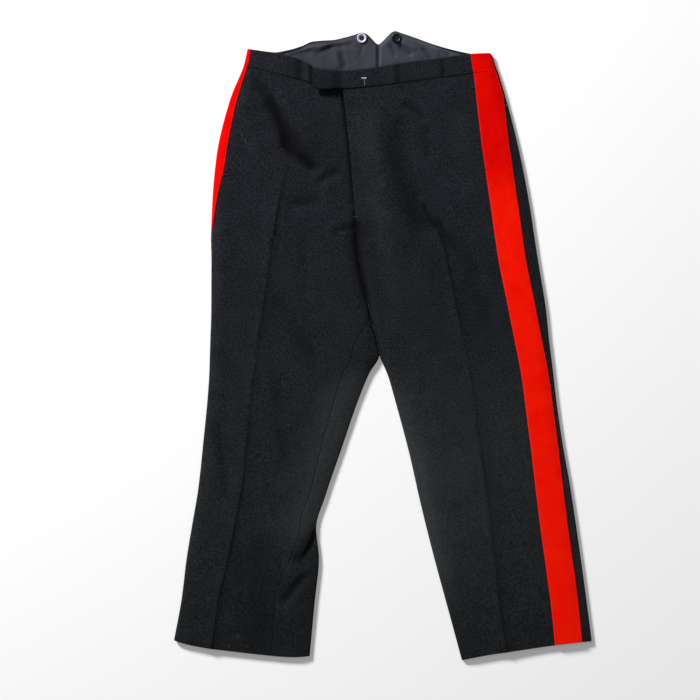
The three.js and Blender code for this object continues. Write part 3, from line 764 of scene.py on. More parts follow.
def bow_of(leg, row, upper, x, share):
    """Moves a straight row onto the curved waist seam or hem, and fades away from them."""
    hem = leg["bow"] * ease(row - leg["last"] + 1) * (1 - (2 * np.clip(share, 0, 1) - 1) ** 4)
    first_x, first_y, dx, dy, _, _ = across(leg, float(WAIST_SEAM), upper)
    straight = first_y + (x - first_x) * dy / dx
    return hem + (waist_seam(x) - straight) * (1 - ramp(row, WAIST_SEAM, BOW_FADE))


def edge_ease(distance):
    """0 at a side fold, rising on a parabola to 1 at EDGE_EASE."""
    return 1 - (1 - np.clip(distance / EDGE_EASE, 0, 1)) ** 2


def inner_ease(row, distance):
    """The share of its height that the cloth has near its inner end: a narrow valley at the crotch
    seam, one less a bell, which opens to a side fold below the crotch."""
    valley = 1 - bell(distance, VALLEY_HALF)
    fold = mix(valley, edge_ease(distance), ramp(row, CROTCH, FOLD_OPENS))
    return mix(1, fold, ramp(row, FLY_END, VALLEY_OPENS))


def fly_dip(row, past):
    """The right front sinks along the edge of the left one that laps over it: a bell across that
    edge."""
    along = ramp(row, WAIST_SEAM, FLY_DIP_RISES) * (1 - ramp(row, FLY_END, FLY_DIP_FADES))
    return FLY_DIP * along * bell(past, FLY_DIP_HALF)


def lift_of(leg, row, p, width, x, y):
    """How high the upper layer stands: its puff, crease, folds and ripple, all eased down to the
    side folds."""
    side = edge_ease(p) * inner_ease(row, width - p)
    off = p - leg["crease"](row)
    reach = np.where(off > 0, CREASE_INNER, CREASE_OUTER)
    crease = ramp(row, CREASE_START, CREASE_FADE) * np.exp(-np.abs(off) / reach)
    folds = fold_heights(FOLDS, x, y) + fold_heights(FINE_FOLDS, x, y) + ripple(x, y)
    if leg["side"] == "right":
        folds = folds + tuck_height(x, y) - fly_dip(row, width - p)
    return np.maximum(side * (puff_height(y) + CREASE_HEIGHT * crease + folds), LEAST_LIFT)


def lap_fade(past):
    """1 where the left front laps over the right one, fading to 0 beyond the lap."""
    return 1 - ramp(past, LAP_FLAT, FLY_FADE)


def fly_lift(leg, row, past):
    """The left front laps over the right one at the fly, so it stands one cloth higher there."""
    if leg["side"] == "right":
        return 0
    lift = (CLOTH + OVERLAP_GAP) * lap_fade(past) * (1 - ramp(row, FLY_END, LAP_FADES))
    return np.where(row < WAIST_SEAM, 0, lift)


def lifted_by_stripe(leg, row, s, p):
    """Where the right stripe passes under the leg, the cloth over it is lifted clear of the
    floor."""
    if leg["side"] == "left":
        return 0
    beyond = -s - (STRIPE_HALF - leg["outseam"](row)) - STRIPE_CLEAR
    clear = np.where(s >= 0, ease(p / STRIPE_FADE), ease(beyond / STRIPE_EDGE_FADE))
    return (STRIPE_CLOTH + STRIPE_GAP) * (1 - clear)


print("width at the crotch:", round(float(across(right_leg, 6.0, True)[4]), 1), "mm")

# %% [markdown]
# The point itself comes from its row and its distance round the leg. Only above the waist seam do
# the backs leave the fronts: their rows are stretched up to the fishtail.

# %% A point of the cloth


def cloth_point(leg, row, q, out, closed):
    """Points of a leg's cloth, for arrays of rows and of distances q round it. out is the distance
    outside its outer face. Where closed is true, q runs on round the inner fold too."""
    row, q, out, closed = np.broadcast_arrays(np.asarray(row, float), q, out, closed)
    half = across(leg, row, True)[5]
    s = np.where(closed & (q > half), q - 2 * half, q)
    s = np.where(closed & (q < -half), q + 2 * half, s)
    upper = s >= 0
    start_x, start_y, dx, dy, width, _ = across(leg, row, upper)
    length, radius = np.abs(s), FOLD_RADIUS + out
    outer_turn = length < QUARTER
    inner_turn = closed & (length > half - QUARTER) & ~outer_turn
    angle = np.where(outer_turn, length, half - length) / FOLD_RADIUS
    p = FOLD_RADIUS + length - QUARTER
    p = np.where(outer_turn, FOLD_RADIUS - radius * np.cos(angle), p)
    p = np.where(inner_turn, width - FOLD_RADIUS + radius * np.cos(angle), p)
    rise = np.where(outer_turn | inner_turn, radius * np.sin(angle), radius)
    x, y = start_x + dx * p, start_y + dy * p
    bowed = y + bow_of(leg, row, upper, x, p / width)
    y = np.where(row < WAIST_SEAM, mix(waist_top(x), waist_seam(x), row), bowed)
    lift = np.where(upper, lift_of(leg, row, p, width, x, y) + fly_lift(leg, row, width - p), 0)
    z = FOLD_RADIUS + np.where(upper, rise, -rise) + lifted_by_stripe(leg, row, s, p) + lift
    return np.stack([x, y, z], axis=-1)


def fishtail_point(leg, row, q, out, inset, below):
    """Points of the back above the waist seam: the same rows, stretched up to the fishtail's edge
    less an inset."""
    points = cloth_point(leg, row, q, out, False)
    top = fishtail_edge(points[..., 0]) - inset
    points[..., 1] = mix(top, waist_seam(points[..., 0]) - below, row)
    return points


print("crest of the right hip fold:", cloth_point(right_leg, 3.0, 60.0, 0.0, False).round(1))

# %% [markdown]
# A piece of cloth is a grid of such points for its outer face, another for its inner face, and a
# rim between them. The two faces draw together in a half circle at the cut edges, because a turned
# edge is round. Columns of the grid follow the seams, folds and creases from row to row, so a
# pressed edge stays sharp.

# %% Rows and columns of a grid
COLUMN_STEP = 0.3
ROUND_MARKS = (0.0, 0.3, 0.8, 2.0)
FINE_ROWS = 600


def length_along(points):
    """The distance of each point from the first, along the line through them."""
    return np.r_[0, np.cumsum(np.linalg.norm(np.diff(points, axis=0), axis=1))]


def rows_of(place_at, first, last, step):
    """Row values about step millimetres apart, with closer ones at both ends, and their distances
    down the cloth."""
    fine = np.linspace(first, last, FINE_ROWS)
    length = length_along(place_at(fine))
    count = max(3, round(length[-1] / step))
    inner = np.linspace(ROUND_MARKS[-1], length[-1] - ROUND_MARKS[-1], count)
    ends = np.array(ROUND_MARKS[:-1])
    at = np.r_[ends, inner, length[-1] - ends[::-1]]
    return np.interp(at, length, fine), at


def columns_of(lo, hi, marks, counts):
    """For each row, distances from lo to hi that pass through the marks, with so many steps between
    each two. A mark stays a little inside the edges."""
    edge = ROUND_MARKS[2]
    spots = []
    for i, mark in enumerate(marks):
        low = lo + edge + COLUMN_STEP * (i + 1)
        high = hi - edge - COLUMN_STEP * (len(marks) - i)
        spots.append(np.clip(mark, low, high))
    knots = [lo, lo + edge, *spots, hi - edge, hi]
    parts = [
        mix(a[:, None], b[:, None], np.arange(n) / n)
        for a, b, n in zip(knots, knots[1:], [2, *counts, 2])
    ]
    return np.concatenate([*parts, hi[:, None]], axis=1)


print("marks at an edge:", ROUND_MARKS)

# %% [markdown]
# Sewing draws cloth in, so it sinks a little along its seams and puckers there in short waves.

# %% A wall of cloth from its grid
PUCKER = 0.10
PUCKER_LENGTH = 13
PUCKER_REACH = 7
SEAM_SINK = 0.12
SINK_REACH = 2.5
BLUNT = 0.3


def round_edge(distance, thick):
    """The share of its half thickness that the cloth has near a cut edge: a quarter circle, blunt
    at its very end."""
    t = np.clip(distance / (thick / 2), 0, 1)
    return np.maximum(np.sqrt(1 - (1 - t) ** 2), BLUNT)


def grid_faces(rows, columns, start, turned):
    """Four-sided faces of one grid of points, numbered from start."""
    n = start + np.arange(rows * columns).reshape(rows, columns)
    quads = np.stack([n[:-1, :-1], n[:-1, 1:], n[1:, 1:], n[1:, :-1]], axis=-1).reshape(-1, 4)
    return quads[:, ::-1] if turned else quads


def rim_faces(rows, columns):
    """Four-sided faces between the outer and the inner grid along all four edges."""
    n = np.arange(rows * columns).reshape(rows, columns)
    ring = np.concatenate([n[0, :-1], n[:-1, -1], n[-1, :0:-1], n[:0:-1, 0]])
    after = np.roll(ring, -1)
    return np.stack([after, ring, ring + n.size, after + n.size], axis=-1)


def mesh_piece(name, points, faces, uv=None, **attributes):
    """A smooth-shaded object from points in millimetres, with a map and numbers for each point."""
    mesh = bpy.data.meshes.new(name)
    mesh.from_pydata((points * MM).tolist(), [], faces)
    if uv is not None:
        corner = np.empty(len(mesh.loops), np.int32)
        mesh.loops.foreach_get("vertex_index", corner)
        at_corners = (uv * MM)[corner].astype(np.float32)
        mesh.uv_layers.new(name="cloth").data.foreach_set("uv", at_corners.ravel())
    for key, value in attributes.items():
        made = mesh.attributes.new(key, "FLOAT", "POINT")
        made.data.foreach_set("value", value.astype(np.float32).ravel())
    mesh.polygons.foreach_set("use_smooth", np.ones(len(mesh.polygons), bool))
    mesh.update()
    piece = bpy.data.objects.new(name, mesh)
    bpy.context.collection.objects.link(piece)
    return piece


def dress(piece, finish, slot):
    """A piece takes its finish and lies with the others, in the one body there is."""
    piece.data.materials.append(finish)
    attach(piece, "root")


def volume_of(points, faces):
    """The signed volume inside four-sided faces: the sum of the tetrahedra to the origin."""
    a, b, c, d = (points[faces[:, i]] for i in range(4))
    return ((a * np.cross(b, c)).sum() + (a * np.cross(c, d)).sum()) / 6


def cloth_wall(name, place, q, along, out, thick, rub):
    """Cloth between two faces. place(q, out) gives points, and the last argument a share for each
    point that the finish reads: on the wool paler painted light with some wear above 0 and darker
    painted shade below 0, on the lining painted shade, and on the stripe a paler tone.
    """
    from_side = np.minimum(q - q[:, :1], q[:, -1:] - q)
    down = along[:, None]
    from_end = np.minimum(down, along[-1] - down)
    wave = np.sin(TURN * down / PUCKER_LENGTH + 2 * np.sin(down / 37))
    pucker = PUCKER * wave * np.exp(-from_side / PUCKER_REACH)
    middle = out - thick / 2 + pucker - SEAM_SINK * np.exp(-from_side / SINK_REACH)
    half = thick / 2 * round_edge(np.minimum(from_side, from_end), thick)
    faces = [place(q, middle + half), place(q, middle - half)]
    rows, columns = q.shape
    points = np.concatenate([face.reshape(-1, 3) for face in faces])
    outer = grid_faces(rows, columns, 0, False)
    inner = grid_faces(rows, columns, q.size, True)
    quads = np.concatenate([outer, inner, rim_faces(rows, columns)])
    if volume_of(points, quads) < 0:
        quads = quads[:, ::-1]
    uv = np.stack([q, np.broadcast_to(down, q.shape)], axis=-1).reshape(-1, 2)
    # Painted light, painted shade and tone for each point, held between -1 and 1.
    painted_light_and_tone = np.clip(np.broadcast_to(rub, q.shape), -1, 1).ravel()
    piece = mesh_piece(name, points, quads.tolist(), np.tile(uv, (2, 1)), rub=np.tile(painted_light_and_tone, 2))
    print(name, len(quads), "faces,", round(volume_of(points, quads) / 1000), "cm3")
    return piece


# %% [markdown]
# Each piece lies where its solid lay. Sewing it on gives it its finish, joins it to the one body
# and hides that solid.

# %% Sew a piece on
laid = {}


def sew_on(piece, node, slot, finish):
    """The piece takes the place of a solid, which is hidden, and joins the laid pieces."""
    dress(piece, finish, slot)
    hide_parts(node)
    laid[piece.name] = piece


print("pieces laid so far:", len(laid))

# %% [markdown]
# A trouser front is one panel from the side seam to the fly, and below the crotch to the inside leg
# seam. The fly edge of the right front runs on under the left one. Each edge is a distance round
# the leg, worked out for every row.

# %% Where the fronts and backs end
UNDERLAP_SHORT = 0.5
UNDERLAP_FADE = 0.45
STRIPE_CUT = QUARTER + 0.4


def seam_of(leg, rows):
    """The front's edge at the side seam."""
    return leg["outseam"](rows) + SEAM_GAP / 2


def half_of(leg, rows):
    """The length of cloth from the outer fold to the inner one."""
    return across(leg, rows, True)[5]


def crease_of(leg, rows):
    """The pressed crease, measured round the leg."""
    return leg["crease"](rows) + QUARTER - FOLD_RADIUS


def xy_of(points):
    return points[..., 0], points[..., 1]


def centre_of(leg, rows):
    """The centre front, measured round the leg."""
    return half_of(leg, rows) - QUARTER + FOLD_RADIUS - CENTRE_GAP / 2


def front_end(leg, rows):
    """The fly with its underlap, then the crotch seam, then the inside leg seam."""
    half = half_of(leg, rows)
    underlap = FLY_UNDERLAP * (1 - ease((rows - FLY_END + UNDERLAP_SHORT) / UNDERLAP_FADE))
    if leg["side"] == "left":
        underlap = 0
    share = (rows - DRAW_START) / (CROTCH - DRAW_START)
    drawn = mix(centre_of(leg, rows), half - QUARTER - SEAM_GAP, share)
    end = np.where(rows < DRAW_START, centre_of(leg, rows) + underlap, drawn)
    return np.where(rows < CROTCH, end, half - leg["inseam"](rows) - SEAM_GAP)


def back_end(leg, rows):
    """The seat seam, which curls round the inner fold at the crotch, then the inside leg seam."""
    half = half_of(leg, rows)
    seat = across(leg, rows, False)[4] - FOLD_RADIUS + QUARTER - SEAM_GAP / 2
    share = np.sqrt(np.maximum(rows - CURL_START, 0) / (CROTCH - CURL_START))
    curl = half + mix(-QUARTER, QUARTER - SEAM_GAP / 2, share)
    end = np.where(rows < CURL_START, seat, curl)
    return np.where(rows < CROTCH, end, half + leg["inseam"](rows) - SEAM_GAP / 2)


def stripe_back(leg, rows):
    """The stripe's back edge, cut off at the side fold where it would pass over it at the waist."""
    edge = leg["outseam"](rows) - STRIPE_HALF
    return np.maximum(edge, STRIPE_CUT) if leg["side"] == "left" else edge


print("right front ends at", front_end(right_leg, np.array([1.0, 6.0, 16.0])).round(1))

# %% [markdown]
# Painted light makes the wool paler inside the legs, where some wear adds to it, over the knees and
# along the outer folds, and painted shade makes the shins darker. More painted shade darkens each
# trough, the valleys at the fly and the crotch, and each crease on its side away from the light.
# Two
# tables add patches that follow no fold: one of painted shade and one of painted light.

# %% Painted light and shade on the wool
# Painted light at the inner fold with some wear, over the knee and on the outer fold, and painted
# shade on the shins.
INNER_LIGHT_AND_WEAR = {"right": 0.70, "left": 0.90}
INNER_LIGHT_REACH = {"right": 58.0, "left": 35.0}
INNER_LIGHT_FADE = {"right": 1.6, "left": 3.6}
INNER_LIGHT_FIRST, INNER_LIGHT_LAST, INNER_LIGHT_END = 8.2, 12.4, 2.0
KNEE_LIGHT = {"right": 0.06, "left": 0.26}
KNEE_ROW, KNEE_ROWS = 11.2, 2.4
FOLD_LIGHT, FOLD_LIGHT_REACH = 0.16, 14
SHIN_SHADE, SHIN_ROW, SHIN_ROWS = 0.12, 13.5, 2
# Painted shade in the troughs and in the valleys at the fly and the crotch.
TROUGH_SHADE, DEEP_TROUGH, TROUGH_POWER = 0.9, 5, 1.7
NARROW_TROUGH, BROAD_SHADE = 13, 0.4
CRACK_REACH, CRACK_ROWS, CRACK_EDGE = (7.5, 4.5), 2.5, 0.15
FLY_CRACK, FLY_CRACK_REACH = 0.8, 4


def painted_light_and_tone(leg, rows, s):
    """Painted light at the inner fold, where some wear adds to it, over the knee and along the
    outer fold. Painted shade makes the shins darker.
    """
    half = half_of(leg, rows)[:, None]
    row, side = rows[:, None], leg["side"]
    inner = bell(half - np.abs(s), INNER_LIGHT_REACH[side])
    along = ramp(row, INNER_LIGHT_FIRST, INNER_LIGHT_FADE[side]) * (1 - ramp(row, INNER_LIGHT_LAST, INNER_LIGHT_END))
    knee = KNEE_LIGHT[side] * bell(row - KNEE_ROW, KNEE_ROWS)
    fold = FOLD_LIGHT * np.exp(-np.abs(s) / FOLD_LIGHT_REACH)
    shin = SHIN_SHADE * ramp(row, SHIN_ROW, SHIN_ROWS)
    return INNER_LIGHT_AND_WEAR[side] * inner * along + knee + (fold - shin)


# Painted shade: dark patches where the cloth falls into shade, one of them the shadow in the calf
# tuck.
PAINTED_SHADE_PATCHES = table(FOLD_COLUMNS, [
    [-222, 462, -164, 350, 8, 10, 14, 0.35],
    [-190, 404, -126, 322, 4, 14, 16, 0.55],
    [-6, 404, 78, 196, -4, 15, 17, 0.34],
    [44, 300, 118, 86, 0, 20, 24, 0.18],
    [146, 214, 198, 10, 0, 10, 20, 0.22],
    [-66, 250, -32, 50, 4, 30, 12, 0.26],
    [-150, 38, -124, -50, 0, 14, 16, 0.22],
    [-186, -58, -176, -213, 0, 20, 22, 0.12],
    [-236, -335, -218, -640, 0, 34, 38, 0.38],
    [-150, -430, -160, -620, 0, 20, 20, 0.06],
    [-122, -332, -164, -404, 0, 8, 10, 0.9],
    [-148, -427, -172, -452, -4, 6, 6, 0.28],
    [-150, 440, -62, 290, 4, 20, 24, 0.16],
])
# Painted light: patches made paler where the cloth takes more light, the first one weakening the
# painted shade at the top of the hip trough.
PAINTED_LIGHT_PATCHES = table(FOLD_COLUMNS, [
    [-240, 498, -214, 450, 5, 9, 13, 0.45],
    [-38, 470, 30, 10, 0, 20, 24, 0.18],
    [128, 440, 166, 250, 0, 22, 18, 0.10],
    [130, -160, 176, -420, 0, 30, 30, 0.13],
    [-96, -60, -140, -250, 0, 24, 20, 0.10],
    [-176, -300, -186, -420, 0, 30, 30, 0.06],
    [-177, -460, -192, -487, 0, 10, 10, 0.35],
])


def hollow(x, y):
    """Painted shade in the troughs: a bell for each fold below 0, the deep and narrow ones more,
    and one for each patch of painted shade."""
    low = FOLDS["height"] < 0
    share = TROUGH_SHADE * (np.abs(FOLDS["height"][low]) / DEEP_TROUGH) ** TROUGH_POWER
    share = share * np.where(FOLDS["left"][low] < NARROW_TROUGH, 1, BROAD_SHADE)
    troughs = {**{name: column[low] for name, column in FOLDS.items()}, "height": share}
    return np.clip(fold_heights(troughs, x, y) + fold_heights(PAINTED_SHADE_PATCHES, x, y), 0, 1)


def crack(leg, rows, s):
    """Painted shade in the narrow valley at the fly and down the crotch seam to the apex."""
    row = rows[:, None]
    past = np.abs(centre_of(leg, rows)[:, None] - s)
    reach = mix(*CRACK_REACH, ramp(row, FLY_END, CRACK_ROWS))
    below_fly = ramp(row, FLY_END, CRACK_EDGE)
    seam = bell(past, reach) * below_fly * (1 - ease((row - APEX + 0.1) / 0.4))
    if leg["side"] == "left":
        return seam
    fly = bell(past, FLY_CRACK_REACH) * ramp(row, WAIST_SEAM, 0.1) * (1 - below_fly)
    return seam + FLY_CRACK * fly


# Painted shade down the creases, one row for each leg.
CREASE_PAINTED_SHADE = table("way above below first phase", [
    [1, 0.34, 0.42, 2.8, 0], [-1, 0.46, 0.30, 3.7, math.pi],
])
THIGH_FADES, SHIN_RISES = (6.0, 2.0), (10, 2.5)
WANDER, WANDER_TURN = 0.8, 2.6
LINE_OFF, LINE_HALF = 2.2, 2.0
RIDGE_SHADE, RIDGE_OFF, RIDGE_HALF = 0.24, 1.5, 2.5
NEAR_REACH, WIDE_REACH = 9, 30


def crease_shade(leg, rows, s):
    """Painted shade along the crease: a thin broken line on its side away from the light, which
    fades off from it, and a faint one on the other side."""
    row = rows[:, None]
    way, above, below, first, phase = rows_in(CREASE_PAINTED_SHADE)[0 if leg["side"] == "right" else 1]
    away = (s - crease_of(leg, rows)[:, None]) * way + WANDER * np.sin(WANDER_TURN * row)
    start = ramp(row, first, 0.6)
    upper, lower = start * (1 - ramp(row, *THIGH_FADES)), ramp(row, *SHIN_RISES)
    broken = 0.62 + 0.38 * np.sin(3.1 * row + 2 * np.sin(1.7 * row) + phase)
    line = bell(away - LINE_OFF, LINE_HALF) * (above * upper + below * lower + 0.08 * start)
    near = np.where(away > 0, np.exp(-away / NEAR_REACH), 0) * (0.14 * upper + 0.48 * below * lower)
    wide = np.where(away > 0, np.exp(-away / WIDE_REACH), 0) * (0.1 * upper + 0.1 * lower)
    ridge = RIDGE_SHADE * bell(away + RIDGE_OFF, RIDGE_HALF) * start
    return broken * (line + near) + wide + ridge


ROW_STEP = 4.0
SEAM_SHADE, SEAM_SHADE_REACH = 0.6, 1.6


def leg_rows(leg, first):
    """Rows down a leg with their distances, measured along its outer side."""
    line = lambda rows: np.stack([leg["outerX"](rows), leg["outerY"](rows)], axis=-1)
    return rows_of(line, first, leg["last"], ROW_STEP)


print("dark patches of nap:", len(PAINTED_SHADE_PATCHES["height"]), "pale ones:", len(PAINTED_LIGHT_PATCHES["height"]))

# %% Right and left fronts


def front(leg, marks_of, counts, name):
    rows, along = leg_rows(leg, WAIST_SEAM)
    q = columns_of(seam_of(leg, rows), front_end(leg, rows), marks_of(leg, rows), counts)
    place = lambda q, out: cloth_point(leg, rows[:, None], q, out, rows[:, None] >= CROTCH)
    x, y = xy_of(place(q, 0))
    # Painted shade in the troughs, valleys and creases, painted light at the edges and in patches,
    # and painted shade just under the waist seam.
    deep = hollow(x, y) + crack(leg, rows, q) + crease_shade(leg, rows, q)
    rub = painted_light_and_tone(leg, rows, q) + fold_heights(PAINTED_LIGHT_PATCHES, x, y) - deep
    rub = rub - SEAM_SHADE * np.exp(-along[:, None] / SEAM_SHADE_REACH)
    piece = cloth_wall(name, place, q, along, 0, CLOTH, rub)
    sew_on(piece, f"front_{leg['side']}", "wool", wool_finish)


def right_front_marks(leg, rows):
    crease, fold = crease_of(leg, rows), np.full(len(rows), QUARTER)
    return [-fold, fold, crease - 4, crease, crease + 6, crease + 40]


def left_front_marks(leg, rows):
    crease, half = crease_of(leg, rows), half_of(leg, rows)
    stripe_edge = seam_of(leg, rows) + STRIPE_HALF
    return [stripe_edge, crease - 12, crease, crease + 12, half - QUARTER, half + QUARTER]


front(right_leg, right_front_marks, [5, 10, 25, 3, 5, 12, 46], "right_front")
front(left_leg, left_front_marks, [6, 30, 10, 6, 48, 10, 6], "left_front")

# %% [markdown]
# A trouser back is wider than the front and is cut up into the fishtail. It runs from the side
# seam, under the leg, to the seat seam, and below the crotch round the inner fold to the inside leg
# seam. Above the waist seam it stands free behind the waistband.

# %% Right and left backs
BACK_RISE = 75
FISHTAIL_ROWS = np.r_[0, 0.004, 0.012, np.linspace(0.03, 0.97, 20)]


def back(leg, marks_of, counts, name):
    lower, lower_along = leg_rows(leg, WAIST_SEAM)
    rows = np.r_[FISHTAIL_ROWS, lower]
    along = np.r_[FISHTAIL_ROWS * BACK_RISE, BACK_RISE + lower_along]
    lo, hi = -leg["outseam"](rows) + SEAM_GAP / 2, back_end(leg, rows)
    q = columns_of(lo, hi, marks_of(leg, rows), counts)
    grid = rows[:, None]

    def place(q, out):
        high = fishtail_point(leg, grid, -q, out, 0, 0)
        low = cloth_point(leg, grid, -q, out, grid >= CURL_START)
        return np.where((grid < WAIST_SEAM)[..., None], high, low)

    x, y = xy_of(place(q, 0))
    on_top = q > half_of(leg, rows)[:, None]
    # Painted shade in troughs and patches, less painted light, where the back lies on top below the
    # crotch, and painted shade in the crotch valley.
    deep = np.where(on_top, hollow(x, y) - fold_heights(PAINTED_LIGHT_PATCHES, x, y), 0)
    rub = painted_light_and_tone(leg, rows, q) - deep - crack(leg, rows, q)
    piece = cloth_wall(name, place, q, along, 0, CLOTH, rub)
    sew_on(piece, f"back_{leg['side']}", "wool", wool_finish)


def inner_marks(leg, rows):
    """The point of the fishtail, and both sides of the inner fold."""
    half = half_of(leg, rows)
    point = np.minimum(back_end(leg, rows), half - QUARTER) - FISHTAIL_POINT
    return [point, half - QUARTER, half + QUARTER]


def right_back_marks(leg, rows):
    edge = STRIPE_HALF - leg["outseam"](rows)
    return [edge + 3, edge + 11, *inner_marks(leg, rows)]


def left_back_marks(leg, rows):
    fold = np.full(len(rows), QUARTER)
    return [-stripe_back(leg, rows), -fold, fold, *inner_marks(leg, rows)]


back(right_leg, right_back_marks, [7, 4, 44, 12, 10, 18], "right_back")
back(left_leg, left_back_marks, [7, 5, 10, 52, 12, 10, 4], "left_back")

# %% [markdown]
# The scarlet stripe is a strip two inches wide, laid over the side seam from waistband to hem. It
# is cut at the waist seam, and a short length of it goes on over the waistband. On the right leg it
# rolls under with the seam.

# %% Stripes
STRIPE_TOP = STRIPE_GAP + STRIPE_CLOTH
PALER_SHARE = {"right": (0.0, 0.2), "left": (0.1, 1.0)}
PALER_FROM, PALER_OVER = 3.0, 1.2
BAND_DEPTH = 33


def stripe(leg, rows, along, name, node, flat, rests_on):
    seam = leg["outseam"](rows)
    fold = np.full(len(rows), QUARTER)
    if leg["side"] == "right":
        marks, counts = [seam, -fold, fold], [9, 5, 10, 5]
    else:
        marks, counts = [seam], [9, 9]
    q = columns_of(stripe_back(leg, rows), seam + STRIPE_HALF, marks, counts)
    place = lambda q, out: cloth_point(leg, rows[:, None], q, out, False)
    paler = mix(*PALER_SHARE[leg["side"]], ramp(rows[:, None], PALER_FROM, PALER_OVER))
    piece = cloth_wall(name, place, q, along, STRIPE_TOP, STRIPE_CLOTH, paler)
    sew_on(piece, node, "stripe", stripe_finish)


def band_rows():
    """Rows down the waistband, closer at both ends, with their distances."""
    return rows_of(lambda rows: np.stack([rows * BAND_DEPTH, rows * 0], axis=-1), 0.0, 0.99, 3.0)


for leg in (right_leg, left_leg):
    side = leg["side"]
    name, node = f"{side}_stripe", f"stripe_{side}"
    panels = [f"{side}_front", f"{side}_back"]
    stripe(leg, *leg_rows(leg, WAIST_SEAM), name, node, (0.0508, 1.075), panels)
    width = 0.0508 if side == "right" else 0.040
    flat, under = (width, 0.035), [f"{side}_band"]
    stripe(leg, *band_rows(), f"{name}_end", f"{node}_band", flat, under)

# %% [markdown]
# The waistband is a firm double strip, sewn to the top of each front. Its left half laps over the
# fly and ends in a square tab, which stands off the cloth below it and throws a deep shadow.

# %% Waistband halves
BAND_FLAT, BAND_FADE = 55, 15
BAND_SEAM_SHADE, BAND_SEAM_REACH = 0.6, 1.4
TAB_SHADE, TAB_END_SHADE = 0.35, 0.7
BAND_DENTS = table("x half depth", [
    [-164, 6, 0.7], [-151, 7, -1.5], [-139, 5, 0.9], [-88, 6, -0.7], [-70, 8, 0.4],
    [-32, 5, -0.35], [17, 5, 0.6], [29, 5, -1.3], [40, 6, 0.5], [60, 12, 0.3],
    [110, 5, -1.1], [121, 7, 0.5],
])
# Painted shade: a dark line just past the tab's end and dark folds across the band.
BAND_SHADES = table("x half share", [
    [-132.6, 2.6, 1.3], [-150, 11, 0.5], [-172, 6, 0.2], [29, 6, 0.65], [110, 5, 0.5],
])


def bells(columns, x):
    """The sum of a bell at each x of a table, as wide and as high as the table says."""
    return sum(high * bell(x - middle, half) for middle, half, high in rows_in(columns))


def band_point(leg, rows, q, out, extra):
    points = cloth_point(leg, rows, q, out, False)
    away = ramp(np.abs(q) + FOLD_RADIUS - QUARTER, BAND_FLAT, BAND_FADE)
    points[..., 2] += BAND_PROUD * away + extra + bells(BAND_DENTS, points[..., 0]) * away
    return points


def right_band_place(q, out):
    return band_point(right_leg, rows[:, None], q, out, 0)


def left_band_place(q, out):
    """The tab rises and hangs by the smooth step of the distance past the centre front, its lower
    edge the most."""
    past = across(left_leg, rows[:, None], True)[4] - (q + FOLD_RADIUS - QUARTER)
    lap = (BAND_CLOTH + OVERLAP_GAP) * lap_fade(past)
    rise = (TAB_LIFT + TAB_TILT * rows[:, None]) * ease(-past / TAB_RISE)
    points = band_point(left_leg, rows[:, None], q, out, lap + rise)
    points[..., 1] -= (TAB_DROP + TAB_SAG * rows[:, None]) * ease(-past / TAB_LENGTH)
    return points


rows, along = band_rows()
seam, lap = seam_of(right_leg, rows), centre_of(right_leg, rows) + SEAM_GAP / 2
fold = np.full(len(rows), QUARTER)
q = columns_of(seam, lap + FLY_UNDERLAP, [-fold, fold, fold + 60], [5, 10, 16, 90])
# Painted shade along the lower edge of the band at the waist seam.
painted_seam_shade = BAND_SEAM_SHADE * np.exp((along[:, None] - along[-1]) / BAND_SEAM_REACH)
rub = 0.05 - bells(BAND_SHADES, right_band_place(q, 0)[..., 0]) - painted_seam_shade
piece = cloth_wall("right_band", right_band_place, q, along, 0, BAND_CLOTH, rub)
sew_on(piece, "waistband_right", "wool", wool_finish)

seam = seam_of(left_leg, rows) + SEAM_GAP / 2
lap = centre_of(left_leg, rows) + SEAM_GAP / 2
marks = [seam + STRIPE_HALF, lap - FLY_UNDERLAP, lap]
q = columns_of(seam, lap + TAB_LENGTH, marks, [7, 56, 12, 18])
tab_end = lap[:, None] + TAB_LENGTH - q
rub = -0.05 - bells(BAND_SHADES, left_band_place(q, 0)[..., 0]) - painted_seam_shade
# Painted shade on the tab and a darker line at its end.
rub -= TAB_SHADE * ramp(q, lap[:, None], 10) + TAB_END_SHADE * np.exp(-tab_end / BAND_SEAM_REACH)
piece = cloth_wall("left_band", left_band_place, q, along, 0, BAND_CLOTH, rub)
under = ["right_band", "left_back"]
sew_on(piece, "waistband_left", "wool", wool_finish)

# %% [markdown]
# Inside the fishtail the back is lined. The lining is felled just under the top edge, and the
# braces have pulled it into short creases that run out from the two buttons.

# %% Linings of the back
LINING_CREASES = table(FOLD_COLUMNS, [
    [-128, 536, -52, 558, 5, 4, 6, -0.7],
    [-124, 543, -50, 566, 5, 4, 4, 0.9],
    [-176, 534, -128, 541, 2, 4, 5, -0.8],
    [-150, 546, -104, 552, 2, 5, 5, 0.5],
    [-104, 548, -70, 552, 2, 5, 5, -0.7],
    [-92, 552, -62, 559, 1, 3, 4, 0.6],
    [-80, 544, -70, 508, 2, 5, 6, -0.8],
    [-88, 540, -80, 510, 1, 5, 6, 0.6],
    [-40, 556, -44, 530, 2, 4, 5, -0.4],
    [28, 557, 56, 535, -2, 4, 5, -1.2],
    [34, 562, 64, 545, -1, 3, 4, 0.9],
    [12, 556, 24, 530, 1, 4, 5, -0.7],
    [70, 549, 92, 524, 1, 4, 5, -1.0],
    [88, 551, 104, 532, 1, 4, 4, 0.6],
    [104, 546, 126, 532, 1, 4, 4, -0.8],
])
LINING_DEPTH = 100
LINING_PUFF, CREASE_SHARE, RIPPLE_SHARE, RIPPLE_SCALE = 2.2, 2.0, 1.8, 1.7
SIDE_SHADE, TOP_SHADE, SEAT_SHADE = 0.66, 0.6, 1.2


